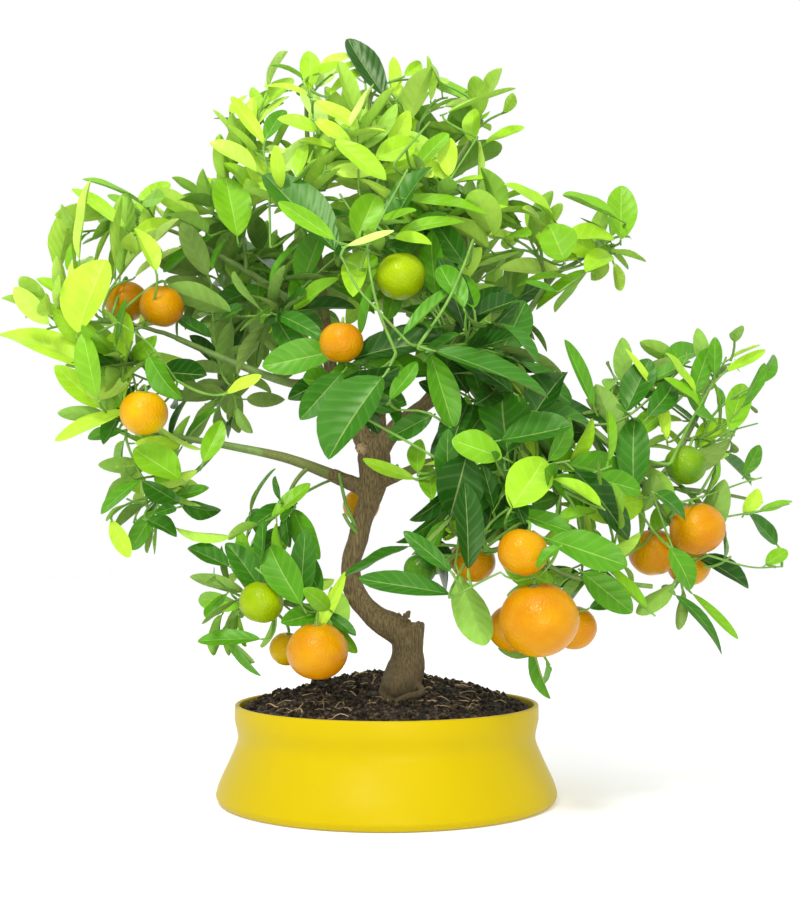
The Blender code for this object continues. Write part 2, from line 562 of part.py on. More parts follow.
class Foliage:
    """Grows the masses and keeps each new twig, fruit and leaf clear of all that stands."""

    def __init__(self, group, workshop, limbs, standing, finish):
        self.group = group
        self.workshop = workshop
        self.limbs = limbs
        self.finish = finish
        self.leaf = leaf_mesh()
        self.section = triangle_profile(group)
        self.taken = [surface_of(thing.data, thing.matrix_world)[1] for thing in standing]
        self.parts = {mass.name: [] for mass in MASSES}
        self.seeds = {mass.name: number for number, mass in enumerate(MASSES, 1)}

    def is_clear(self, shape, own=()):
        return not any(tree.overlap(shape) for tree in self.taken if tree not in own)

    def keep(self, mass, thing, tree, owner=None):
        self.workshop.objects.unlink(thing)
        self.parts[mass.name].append((thing, tree, owner))
        self.taken.append(tree)

    def drop(self, mass, owner):
        """Takes away the shoot with this number, and its leaves."""
        for part in [p for p in self.parts[mass.name] if p[2] == owner]:
            self.parts[mass.name].remove(part)
            self.taken.remove(part[1])
            bpy.data.objects.remove(part[0])

    def twig(self, mass, route, thick, thin, own=(), owner=None):
        """Adds a three-sided twig where it stands clear, and returns its tree."""
        radii = tapered(len(route), thick, thin)
        thing = tube(mass.name + "_twig", route, radii, self.workshop, section=self.section)
        tree = surface_of(thing.data, Matrix())[1]
        if not self.is_clear(tree, own):
            bpy.data.objects.remove(thing)
            return None
        self.keep(mass, thing, tree, owner)
        return tree

    def stem(self, mass):
        """From just clear of the limb's side or tip to the mass's heart."""
        chance = random.Random(STEM_SEED)
        route, radii, _ = self.limbs[mass.limb]
        base, direction = along(route, mass.at)
        radius = radii[round(mass.at * (len(radii) - 1))]
        heart = Vector(mass.heart)
        for attempt in range(STEM_TRIES):
            stray = min(attempt * STEM_STRAY, STEM_MOST_STRAY)
            bend = Vector([chance.uniform(-stray, stray) for _ in range(3)])
            away = (heart - base).normalized()
            if mass.at < 1.0:
                away = (away - direction * away.dot(direction)).normalized()
                away = (away + STEM_FORWARD * direction + bend).normalized()
                start = base + away * (radius + 2 * GAP + STEM_RADIUS) / away.cross(direction).length
            else:
                start = base + direction * GAP * 2
                away = (direction + bend).normalized()
            halfway = (heart - start).length / 2
            line = bent_route(start, start + away * halfway, heart, STEM_PIECES)
            tree = self.twig(mass, line, STEM_RADIUS, SHOOT_RADIUS)
            if tree:
                return line, tree
        raise ValueError(f"no clear way for the stem of {mass.name}")

    def shoot(self, mass, stem, number):
        """One shoot, from the stem towards its own place on the mass's outer face."""
        line, stem_tree = stem
        seed = self.seeds[mass.name]
        chance = random.Random(seed * 100 + number)
        heart = Vector(mass.heart)
        for attempt in range(SHOOT_TRIES):
            height = 1.0 - 2.0 * (number + chance.uniform(*SHOOT_BAND)) / mass.shoots
            turn = SPIRAL * number + seed + chance.uniform(-SHOOT_STRAY, SHOOT_STRAY)
            flat = math.sqrt(1.0 - height ** 2)
            outward = Vector((flat * math.cos(turn), flat * math.sin(turn), height))
            target = heart + Vector([o * r * SHOOT_REACH for o, r in zip(outward, mass.reach)])
            route = [along(line, chance.uniform(*SHOOT_PLACES))[0], target]
            tree = self.twig(mass, route, SHOOT_RADIUS, SHOOT_TIP_RADIUS, (stem_tree,), number)
            if tree:
                return route, tree
        return None

    def placed_leaf(self, base, way, facing, size, broad=1.0):
        side = facing.cross(way).normalized()
        face = way.cross(side).normalized()
        stance = Matrix((way * size, side * size * broad, face * size)).transposed().to_4x4()
        return Matrix.Translation(base - way * LEAF_SUNK) @ stance

    def add_leaf(self, mass, placed, owner=None):
        thing = add_object(mass.name + "_leaf", self.leaf, self.workshop)
        thing.matrix_world = placed
        self.keep(mass, thing, surface_of(self.leaf, placed)[1], owner)

    def leaf_at(self, mass, base, way, facing, size, own, owner):
        """Adds a leaf where it stays in the mass's space and clear of everything else."""
        placed = self.placed_leaf(base, way, facing, size)
        middle = placed @ Vector((0.5, 0.0, 0.0))
        for corner in (placed @ Vector((1.0, 0.0, -LEAF_DROOP)), middle):
            share = [(c - h) / (r * LEAF_SPREAD) for c, h, r in zip(corner, mass.heart, mass.reach)]
            if sum(s * s for s in share) > 1.0:
                return False
        wide = (Matrix.Translation(middle) @ Matrix.Scale(LEAF_MARGIN, 4)
                @ Matrix.Translation(-middle) @ placed)
        if not self.is_clear(surface_of(self.leaf, wide)[1], own):
            return False
        self.add_leaf(mass, placed, owner)
        return True

    def leaves(self, mass, shoot, number):
        """Leaves in a spiral up a shoot, and one at its tip. Returns how many found room."""
        route, tree = shoot
        chance = random.Random(self.seeds[mass.name] * 1000 + number)
        heart = Vector(mass.heart)
        grown = 0
        for place in LEAF_PLACES:
            base, direction = along(route, place)
            outward = (base - heart).normalized()
            open_side = (base - CROWN_CENTRE).normalized()
            aside = TIP_LEAF_ASIDE if place == 1.0 else LEAF_ASIDE
            turn = chance.uniform(0.0, math.tau)
            across = direction.orthogonal().normalized()
            for attempt in range(LEAF_TRIES):
                turn += SPIRAL
                shrink = (LARGEST_LEAF - SMALLEST_LEAF) * attempt / LEAF_TRIES
                size = mass.leaf * (LARGEST_LEAF - shrink)
                sideways = Matrix.Rotation(turn, 3, direction) @ across
                way = direction * LEAF_FORWARD + sideways * aside + outward * LEAF_OUTWARD
                facing = (UP * FACE_UP + open_side * FACE_OPEN_SIDE + outward * FACE_OUTWARD
                          + sideways * FACE_ASIDE)
                if self.leaf_at(mass, base, way.normalized(), facing, size, (tree,), number):
                    grown += 1
                    break
        return grown

    def grow(self, mass, stem):
        """Every shoot of a mass, and then their leaves. A shoot left bare is dropped."""
        shoots = [self.shoot(mass, stem, number) for number in range(mass.shoots)]
        for number, shoot in enumerate(shoots):
            if shoot and not self.leaves(mass, shoot, number):
                self.drop(mass, number)

    def stalk(self, mass, stem, end, arrival):
        """A thin twig from the stem to a given end, which it meets along the arrival."""
        line, stem_tree = stem
        for place in STALK_PLACES:
            start = along(line, place)[0]
            control = end - arrival * STALK_BOW * (end - start).length
            route = bent_route(start, control, end, STALK_PIECES)
            tree = self.twig(mass, route, SHOOT_RADIUS, SHOOT_TIP_RADIUS, own=(stem_tree,))
            if tree:
                return tree
        return None

    def blade(self, mass, stem, blade):
        """One broad leaf on its own stalk, with its upper face to the front and up. It is left
        out where it finds no room."""
        base, tip = Vector(blade.base), Vector(blade.tip)
        way = (tip - base).normalized()
        size = (tip - base).length
        broad = blade.width / size / LEAF_WIDTH
        placed = self.placed_leaf(base, way, BLADE_FACE, size, broad)
        if self.is_clear(surface_of(self.leaf, placed)[1]) and self.stalk(mass, stem, base, way):
            self.add_leaf(mass, placed)

    def fruit(self, mass, stem, fruit):
        """A fruit on its own stalk, which comes down on it from above."""
        radius = fruit.diameter / 2
        centre = Vector(fruit.centre)
        name = mass.name + "_fruit"
        thing = ball(name, centre, radius, self.workshop, FRUIT_SEGMENTS, FRUIT_RINGS, FRUIT_FLATTENED)
        tree = surface_of(thing.data, Matrix())[1]
        if not self.is_clear(tree):
            raise ValueError(f"fruit of {mass.name} at {fruit.centre} touches something")
        if not self.stalk(mass, stem, centre + UP * radius * FRUIT_HOLD, -UP):
            raise ValueError(f"no clear stalk for the fruit of {mass.name} at {fruit.centre}")
        self.keep(mass, thing, tree)

    def fuse(self, mass):
        """Joins a mass's pieces into one closed solid."""
        pieces = [part[0] for part in self.parts[mass.name]]
        solid = pieces[0]
        for piece in pieces[1:]:
            self.workshop.objects.link(piece)
        self.group.objects.link(solid)
        boolean(solid, "UNION", collection=self.workshop)
        empty_out(self.workshop)
        drop_scraps(solid.data)
        solid.name = mass.name
        solid.data.materials.clear()
        solid.data.materials.append(self.finish)
        smooth(solid.data)


def build_masses(foliage):
    stems = {mass.name: foliage.stem(mass) for mass in MASSES}
    for fruit in FRUITS:
        mass = next(m for m in MASSES if m.name == fruit.mass)
        foliage.fruit(mass, stems[mass.name], fruit)
    for blade in BLADES:
        mass = next(m for m in MASSES if m.name == blade.mass)
        foliage.blade(mass, stems[mass.name], blade)
    for mass in MASSES:
        foliage.grow(mass, stems[mass.name])
    for mass in MASSES:
        foliage.fuse(mass)


def main():
    clear_scene()
    group = new_collection("calamondin_orange_tree")
    workshop = new_collection("cutters")
    bark = material("bark", (0.135, 0.097, 0.068), 0.85)
    pot = build_pot(group, material("yellow_pot", (0.80, 0.60, 0.0), 0.35))
    soil = build_soil(group, material("soil", (0.028, 0.017, 0.011), 0.95))
    trunk = build_trunk(group, workshop, bark)
    limbs = build_limbs(group, workshop, bark)
    standing = [pot, soil, trunk] + [bpy.data.objects[limb.name] for limb in LIMBS]
    foliage = Foliage(group, workshop, limbs, standing, material("leaves", (0.07, 0.27, 0.03), 0.45))
    build_masses(foliage)
    bpy.data.objects.remove(foliage.section)


if __name__ == "__main__":
    main()
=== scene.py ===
"""The looks of a calamondin orange tree in its low yellow pot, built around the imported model.

The pot, the soil, the trunk and the boughs stand where their nodes stand. The foliage grows by the
rule that the solids follow, a stem for each mass, shoots that spread from it and leaves in a spiral,
carried on to finer twigs and to leaves of real size. Broad leaves and twigs that are placed one by one
stand on the side that is usually seen, and the grown leaves keep clear of them. Metres, +Z up, the pot's
axis on Z. Tables of places are in millimetres and are turned to metres as they are read.
"""
import json
import math
import random
from typing import NamedTuple

import bmesh
import bpy
import numpy as np
from bpy.props import FloatProperty, FloatVectorProperty, IntProperty, PointerProperty
from mathutils import Matrix, Vector, noise
from mathutils.bvhtree import BVHTree

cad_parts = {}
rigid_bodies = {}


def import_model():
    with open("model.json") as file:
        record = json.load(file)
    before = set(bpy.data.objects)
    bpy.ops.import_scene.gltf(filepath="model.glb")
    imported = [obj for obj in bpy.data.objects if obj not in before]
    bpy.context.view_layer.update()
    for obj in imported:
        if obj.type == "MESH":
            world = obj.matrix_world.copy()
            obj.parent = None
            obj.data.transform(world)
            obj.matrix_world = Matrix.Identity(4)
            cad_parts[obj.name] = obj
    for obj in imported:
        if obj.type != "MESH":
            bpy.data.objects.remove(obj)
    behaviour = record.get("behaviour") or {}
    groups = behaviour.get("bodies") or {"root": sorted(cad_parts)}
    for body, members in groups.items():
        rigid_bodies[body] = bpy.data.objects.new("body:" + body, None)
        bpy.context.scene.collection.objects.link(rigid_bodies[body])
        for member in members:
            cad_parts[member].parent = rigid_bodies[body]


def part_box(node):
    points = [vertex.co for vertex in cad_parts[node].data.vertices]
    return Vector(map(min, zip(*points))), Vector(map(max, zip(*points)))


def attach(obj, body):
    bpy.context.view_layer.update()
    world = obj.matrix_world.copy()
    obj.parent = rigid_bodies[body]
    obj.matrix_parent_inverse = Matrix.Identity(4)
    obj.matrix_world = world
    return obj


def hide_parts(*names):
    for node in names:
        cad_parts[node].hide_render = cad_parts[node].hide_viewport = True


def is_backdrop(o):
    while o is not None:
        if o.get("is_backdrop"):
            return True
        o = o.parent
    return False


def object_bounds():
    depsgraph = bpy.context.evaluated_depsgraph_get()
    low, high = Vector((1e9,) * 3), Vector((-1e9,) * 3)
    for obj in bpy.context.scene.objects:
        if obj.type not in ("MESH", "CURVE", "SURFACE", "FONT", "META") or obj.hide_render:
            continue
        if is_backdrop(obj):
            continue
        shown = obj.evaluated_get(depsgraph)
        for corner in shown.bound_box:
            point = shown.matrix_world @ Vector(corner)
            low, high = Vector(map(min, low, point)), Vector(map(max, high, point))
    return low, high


bl_info = {
    "name": "Calamondin Orange Tree",
    "version": (1, 0, 0),
    "blender": (4, 5, 0),
    "location": "View3D > Sidebar > Orange Tree",
    "description": "Builds a potted calamondin orange tree with soil, bark, twigs, leaves and fruit",
    "category": "Add Mesh",
}


def metres(value):
    """Millimetres as metres, for one number or for any nest of tuples."""
    return tuple(metres(v) for v in value) if isinstance(value, tuple) else value / 1000


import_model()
CAD_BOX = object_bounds()
POT_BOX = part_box("pot")
UP = Vector((0.0, 0.0, 1.0))
BLACK = (0.0, 0.0, 0.0)
EVENLY = (1.0, 1.0, 1.0)
SPIRAL = math.radians(137.5)
SHARP_EDGE = math.radians(50)
# What each part's random draws start from, and how far off in the noise a thing's own swellings lie
SOIL_SEED = 3
TRUNK_SEED = 1
FRUIT_SEED = 11
BLADE_SEED = 17
SEEDS_PER_MASS = 100
NOISE_REACH = (0.0, 50.0)

# The camera's place, the photo's frame and the floor
EYE = (0.00845, -0.845, 0.1556)
EYE_PITCH = math.radians(4.22)
FOCAL_PIXELS = 1300.0
FRAME_HEIGHT = 914
SENSOR = 36.0
FLOOR_RADIUS = 12.0
FLOOR_SIDES = 96
FLOOR_GAP = 0.0005
FLOOR_SHADE = 0.004
FLOOR_PATCHES = 3.0
# Pot: heights and radii down its outer side, and how far it steps in at each edge
BAND_Z = 0.051
BAND_EDGE = (0.0006, 0.003)
WAIST_Z = 0.0385
WAIST_RADIUS = 0.0948
FLARE_OUT = 0.0042
FLARE_Z = 0.027
SKIRT_IN = 0.0025
SKIRT_LOW_Z = 0.012
SKIRT_Z = 0.004
SKIRT_EDGE = 0.002
FOOT_RADIUS = 0.101
FOOT_RECESS = 0.002
FOOT_EDGE = 0.001
INNER_STEP = 0.03
POT_STEP = 0.003
POT_STEPS = 160
POT_FLOOR_Z = 0.006
MERGE_WITHIN = 0.00001
LIP_STEPS = 4
LIP_ANGLE = math.radians(40)
# Soil: its rise behind the trunk, its hollow before it, its clods, and what lies loose on it
MOUND_TOP = (0.0, 0.036)
MOUND_SPREAD = (0.06, 0.032)
SOIL_DIP = 0.0035
DIP_PLACE = (0.008, -0.035)
DIP_SPREAD = (0.03, 0.022)
CLOD_RISE = 0.0022
CLODS_PER_METRE = 130.0
CLOD_OCTAVES = 4
SOIL_RINGS = 40
SOIL_SPOKES = 128
CRUMB_SIZE = (0.0008, 0.0026)
CRUMB_STRETCH = (0.7, 1.3)
CRUMB_UNEVEN = 0.5
CRUMB_LIFT = 0.3
CRUMB_MARGIN = 0.004
ROOT_MARGIN = 0.012
ROOT_END_MARGIN = 0.003
ROOT_POINTS = 9
ROOT_STEP = 0.0024
ROOT_BEND = 60.0
ROOT_WANDER = 0.25
ROOT_LIFT = 0.0006
ROOT_WAVE = 0.001
ROOT_WAVE_TURN = 0.7
ROOT_THICK = (0.00025, 0.00055)
ROOT_TAPER = 0.5
ROOT_SIDES = 5
SOIL_RADII = (0.0, 0.037, 0.062, 0.0912)
SOIL_LEVELS = (0.0655, 0.0655, 0.0632, 0.0572)
# Wood: its swelling at each fork, its rods, the cut of the knot and the ragged top of the stub
COLLAR = 0.45
COLLAR_FADE = 4.0
TRUNK_COLLAR_FADE = 2.5
TRUNK_COLLAR_POINTS = 7
TRUNK_COLLAR_SIDES = 20
TRUNK_SIDES = 32
STUB_SIDES = 24
SURFACE_ROOT_SIDES = 12
LUMP_SWELLS = 1.7
LUMP_UNEVEN = 0.15
TRUNK_STEP = 0.003
COLLAR_STEP = 0.004
BARK_VOXEL = 0.00055
BARK_EVENING = (0.5, 4)
CUT_RADIUS = 0.0042
CUT_DEPTH = 0.0004
CUT_FACING = -0.2
SPUR_RADIUS = 0.0013
SPUR_TAPER = 0.8
SPUR_SIDES = 10
STUB_RAGGED = 0.0022
STUB_SPLINTERS = 420.0
STUB_REACH = 0.011
STUB_BELOW = 0.002
# Boughs thicker than this bear old bark, then young brown bark, and the rest are green
OLD_BARK = 0.0039
YOUNG_BARK = 0.0029
YOUNG_BARK_GREEN = (0.25, 0.45, 0.6)
BOUGH_SIDES = 16
BOUGH_STEP = 0.0025
# Bark relief: how far furrows and swellings are drawn out, how sharp the ridges are, how much it swells
FURROW_STRETCH = 0.16
SWELL_SCALE = 0.3
SWELL_STRETCH = 0.12
RIDGE_SHARPNESS = 2.2
SWELL_SHARE = 1.5
FULL_DEPTH_RADIUS = 0.008
# Surfaces: where a pattern's tones begin and end, and how the bark darkens towards the trunk's foot
TONE_START = 0.35
TONE_SPAN = 0.3
DARKER_BELOW_Z = (0.068, 0.108)
DARKER_BELOW_SHARE = 0.8
DARKER_BELOW_TONE = 0.4
# Leaf and rind: how often the vein pattern repeats in a metre, its slant, where a vein's line begins,
# the depth of a pore as a share of its spacing, and the thickness of a leaf
VEINS = 44.0
VEIN_SLANT = 0.22
VEIN_EDGE = 0.75
PORE_DEPTH = 0.25
LEAF_THICK = 0.00045
# Each lamp: its name, place, width, power in watts, and whether it casts shadows
STUDIO_LIGHTS = (
    ("key_light", (-0.45, -1.5, 1.7), 0.5, 28.0, True),
    ("front_fill", (0.2, -1.9, 0.15), 0.8, 14.0, True),
    ("top_fill", (-0.1, -0.5, 1.9), 0.8, 6.0, False),
)

# The trunk: centre line and radius, from below the soil to the fork
TRUNK_LINE = metres((
    ((8, -12, 54), 15.4), ((8, -12, 62), 14.1), ((9, -12, 70), 12.6), ((10, -12, 76), 11.8),
    ((13, -11, 85), 9.6), ((13, -10, 93), 9.3), ((12, -9, 101), 9.3), ((6, -7, 107), 7.7),
    ((-5, -5, 113), 6.7), ((-15, -3, 122), 6.9), ((-21, -1, 131), 6.5), ((-23, 0, 140), 6.1),
    ((-23, 0, 151), 6.4), ((-19, 0, 164), 6.5), ((-16, 0, 177), 6.5), ((-12, 0, 188), 6.8),
    ((-9, 0, 199), 8.1), ((-8, 0, 211), 10.2), ((-9, 0, 222), 10.6), ((-9, 0, 229), 8.5),
))
TRUNK_STUB = metres(((14, -10, 88), (16, -9, 111)))
STUB_RADII = metres((8.4, 8.3))
SURFACE_ROOT = metres(((18, -16, 74), (22, -27, 69), (11, -33, 66.5), (2, -34, 61)))
SURFACE_ROOT_RADII = metres((2.4, 1.7))
# Swellings, each a centre and a radius, and the centre lines of the small cut twigs
TRUNK_KNOT = metres(((-16.5, -10.5, 222.5), 4.3))
ROOT_SWELLING = metres(((7.5, -18.5, 72.5), 10.5))
STUB_NUB = metres(((12.5, -12, 116.5), 2.4))
SPURS = metres((
    ((-17, -4, 166), (-26, -6, 186), (-31, -6, 207)), ((-18, -5, 167), (-24, -8, 174), (-28, -9, 181)),
    ((-2, -4, 199), (3, -7, 207), (7, -10, 212)),
))


class Limb(NamedTuple):
    name: str
    parent: str
    route: tuple
    thick: float
    thin: float


class Mass(NamedTuple):
    name: str
    limb: str
    at: float
    heart: tuple
    reach: tuple
    leaf: float
    shoots: int
    youth_and_light: float
    gap: float


class Fruit(NamedTuple):
    mass: str
    centre: tuple
    diameter: float
    ripeness: str


class Blade(NamedTuple):
    base: tuple
    tip: tuple
    width: float
    youth_and_light: float


class Spray(NamedTuple):
    thick: float
    route: tuple


LENGTHS = {"route", "thick", "thin", "heart", "reach", "leaf", "gap",
           "centre", "diameter", "base", "tip", "width"}


def placed(kind, rows):
    """Records of a kind from the rows of a table, with their lengths turned to metres."""
    return [kind(*(metres(value) if field in LENGTHS else value for field, value in zip(kind._fields, row)))
            for row in rows]


# Each bough: its name, the wood it leaves, its centre line and its radius at both ends, in millimetres
LIMBS = placed(Limb, (
    ("leader_left", "trunk", ((-11, 0, 222), (-23, 2, 244), (-34, 4, 264), (-39, 6, 289), (-43, 6, 323),
     (-51, 2, 396), (-53, 0, 430)), 5.6, 1.8),
    ("leader_centre", "trunk", ((-6, 7, 222), (-5, 14, 253), (0, 14, 291), (0, 10, 323), (-9, 0, 395),
     (-11, -4, 424)), 4.6, 1.8),
    ("leader_right", "trunk", ((-6, 0, 222), (8, -4, 239), (26, -10, 252), (44, -18, 262),
     (64, -28, 265)), 5.2, 3.4),
    ("left_low_limb", "trunk", ((-14, 0, 197), (-40, 4, 208), (-67, 8, 218), (-104, 10, 226),
     (-136, 2, 231)), 4.2, 1.9),
    ("left_mid_limb", "leader_left", ((-36, 5, 275), (-56, 7, 267), (-78, 10, 272), (-116, 6, 287),
     (-138, -2, 296)), 3.2, 1.8),
    ("left_high_limb", "leader_left", ((-40, 6, 303), (-63, 20, 323), (-89, 32, 343),
     (-131, 28, 367)), 2.8, 1.7),
    ("crown_right_limb", "leader_centre", ((0, 10, 320), (14, 14, 358), (30, 16, 393),
     (46, 14, 418)), 2.4, 1.6),
    ("upright_right", "leader_right", ((39, -16, 260), (46, -22, 288), (51, -24, 318),
     (52, -28, 350)), 2.8, 1.8),
    ("fan_limb", "leader_right", ((56, -23, 264), (75, -14, 287), (109, 8, 337), (124, 13, 348)), 2.7, 1.7),
    ("right_limb", "leader_right", ((58, -26, 265), (94, -34, 257), (117, -40, 240), (143, -44, 217),
     (168, -50, 182)), 3.2, 1.9),
    ("far_limb", "right_limb", ((150, -45, 210), (175, -40, 212), (191, -34, 234),
     (202, -28, 256)), 2, 1.5),
    ("low_right_limb", "trunk", ((-10, 0, 199), (11, -22, 206), (29, -48, 211), (49, -70, 206),
     (65, -86, 189), (71, -92, 168)), 3.6, 2),
    ("low_right_twig", "low_right_limb", ((66, -87, 186), (82, -98, 158), (108, -94, 142),
     (156, -80, 136)), 1.8, 1.4),
    ("low_left_limb", "trunk", ((-20, 0, 128), (-36, -16, 122), (-50, -28, 122),
     (-63, -33, 125)), 2.8, 1.9),
    ("back_left_limb", "trunk", ((-10, 2, 216), (-25, 30, 243), (-41, 64, 271), (-54, 87, 299)), 4.2, 2.3),
    ("back_right_limb", "leader_right", ((11, -6, 241), (27, 28, 260), (44, 64, 291),
     (54, 86, 314)), 3.4, 2.2),
))

# Each mass: its name, its bough and place on it, its heart, its reach, the size of its leaves, its shoots,
# how young its leaves are, which sets their tints, partly by their age and partly as painted shade for the
# masses that lie in shade, and the way from leaf to leaf. Lengths in millimetres.
MASSES = placed(Mass, (
    ("crest_left", "leader_left", 1.0, (-54, 0, 467), (23, 45, 25), 42, 5, 3.2, 15),
    ("shoulder_left", "leader_left", 0.78, (-92, 10, 439), (24, 45, 29), 44, 5, 3.0, 15),
    ("crown_left", "leader_left", 0.6, (-58, -30, 387), (30, 55, 34), 55, 5, 2.6, 12.5),
    ("centre_left", "leader_left", 0.45, (-65, -20, 308), (28, 50, 39), 50, 5, 0.7, 9),
    ("centre_front", "leader_left", 0.22, (-23, -85, 252), (33, 45, 35), 58, 6, 0.7, 9),
    ("crest", "leader_centre", 1.0, (-11, -10, 461), (26, 50, 26), 46, 5, 3.2, 15),
    ("crown_centre", "leader_centre", 0.85, (-17, -20, 408), (29, 55, 32), 50, 5, 2.9, 14),
    ("back_top", "leader_centre", 0.75, (8, 80, 415), (48, 55, 54), 55, 6, 1.8, 10.5),
    ("centre_fruited", "leader_centre", 0.6, (0, -65, 332), (31, 50, 34), 52, 5, 1.3, 10.5),
    ("crest_right", "crown_right_limb", 0.75, (21, 30, 451), (26, 50, 39), 50, 5, 2.9, 14),
    ("crown_right_tip", "crown_right_limb", 1.0, (64, 10, 446), (29, 50, 28), 50, 5, 2.8, 15),
    ("crown_right", "upright_right", 1.0, (38, -30, 383), (35, 55, 26), 50, 5, 2.6, 14),
    ("centre_mid", "upright_right", 0.6, (35, 0, 338), (29, 50, 33), 50, 5, 1.0, 9),
    ("shoulder_low", "left_high_limb", 0.6, (-105, 20, 384), (24, 50, 32), 48, 5, 2.0, 10.5),
    ("left_spray", "left_high_limb", 1.0, (-169, 10, 376), (45, 55, 32), 48, 5, 2.6, 12),
    ("left_inner", "left_high_limb", 0.35, (-113, 55, 335), (40, 60, 39), 48, 5, 0.1, 9),
    ("left_tip", "left_mid_limb", 1.0, (-190, -16, 304), (52, 52, 40), 55, 7, 2.6, 12.5),
    ("left_inner_low", "left_mid_limb", 0.5, (-108, 30, 264), (36, 55, 28), 48, 5, 0.2, 9),
    ("left_tip_low", "left_low_limb", 1.0, (-177, -25, 243), (38, 45, 21), 50, 4, 2.1, 10.5),
    ("left_drop", "left_low_limb", 0.8, (-148, 0, 193), (38, 55, 38), 42, 4, 1.3, 10.5),
    ("hanging", "left_low_limb", 0.35, (-65, -10, 180), (26, 40, 27), 40, 3, 1.1, 10.5),
    ("centre_right", "leader_right", 0.6, (48, -75, 280), (37, 45, 34), 58, 6, 0.3, 9),
    ("right_dark", "leader_right", 0.85, (83, -65, 236), (40, 50, 32), 56, 6, 0.3, 10.5),
    ("fan", "fan_limb", 0.7, (98, -10, 349), (37, 60, 39), 54, 5, 2.2, 13),
    ("fan_tip", "fan_limb", 1.0, (148, 20, 362), (27, 45, 37), 46, 5, 1.9, 13),
    ("right_dark_low", "low_right_limb", 0.5, (43, -90, 201), (28, 45, 29), 50, 4, 0.8, 10.5),
    ("right_light", "low_right_limb", 0.7, (101, -105, 191), (33, 45, 24), 54, 6, 2.1, 9),
    ("low_right", "low_right_limb", 1.0, (46, -85, 157), (50, 52, 31), 50, 4, 0.5, 10.5),
    ("low_right_fruit", "low_right_twig", 0.35, (88, -100, 114), (33, 50, 36), 42, 2, 1.0, 10.5),
    ("low_right_out", "low_right_twig", 0.65, (128, -85, 145), (28, 45, 27), 50, 3, 1.2, 13),
    ("right_column", "right_limb", 0.55, (143, -55, 217), (22, 45, 34), 50, 4, 1.2, 13),
    ("far_rise", "right_limb", 0.4, (161, -10, 262), (36, 45, 31), 48, 4, 1.2, 15),
    ("far_fruited", "right_limb", 1.0, (183, -55, 148), (39, 50, 41), 50, 4, 0.7, 12.5),
    ("far_tip", "right_limb", 0.85, (241, -10, 188), (24, 40, 37), 40, 3, 1.3, 18),
    ("far_mid", "far_limb", 0.55, (195, -40, 227), (33, 45, 26), 42, 4, 1.2, 16),
    ("far_top", "far_limb", 1.0, (217, -20, 274), (30, 45, 27), 42, 4, 2.0, 18),
    ("low_left", "low_left_limb", 1.0, (-84, -30, 126), (36, 55, 43), 48, 6, 1.2, 12),
    ("low_left_fruit", "low_left_limb", 0.5, (-41, -60, 120), (27, 50, 40), 48, 4, 1.1, 10.5),
    ("back_left", "back_left_limb", 1.0, (-74, 110, 335), (62, 58, 62), 55, 7, 0.9, 10.5),
    ("back_right", "back_right_limb", 1.0, (61, 110, 330), (59, 58, 66), 55, 7, 0.9, 10.5),
    ("back_low", "back_right_limb", 0.45, (90, 70, 240), (42, 50, 34), 50, 4, 0.9, 10.5),
))

# Each fruit: its mass, its centre and diameter in millimetres, and its ripeness
FRUITS = placed(Fruit, (
    ("left_tip", (-174, 12, 323), 29, "ripe"), ("left_tip", (-146, -12, 315), 29, "ripe"),
    ("left_tip_low", (-150, -45, 242), 30, "yellow"), ("centre_front", (-26, -88, 279), 26, "ripe"),
    ("centre_fruited", (9, -75, 321), 30, "turning"), ("low_left", (-75, -58, 126), 27, "turning"),
    ("low_left_fruit", (-40, -75, 98), 36, "ripe"), ("low_left", (-62, -28, 96), 22, "yellow"),
    ("low_right", (20, -85, 146), 19, "green"), ("low_right", (52, -68, 151), 27, "ripe"),
    ("low_right", (76, -128, 156), 28, "ripe"), ("low_right_fruit", (85, -125, 119), 44, "ripe"),
    ("low_right_fruit", (75, -78, 112), 30, "ripe"), ("low_right_fruit", (110, -80, 112), 27, "ripe"),
    ("far_fruited", (186, -68, 170), 33, "ripe"), ("far_fruited", (165, -40, 156), 31, "ripe"),
    ("far_fruited", (189, -30, 148), 27, "ripe"), ("far_mid", (179, -70, 208), 25, "unripe"),
    ("hanging", (-18, 42, 188), 25, "ripe"),
))
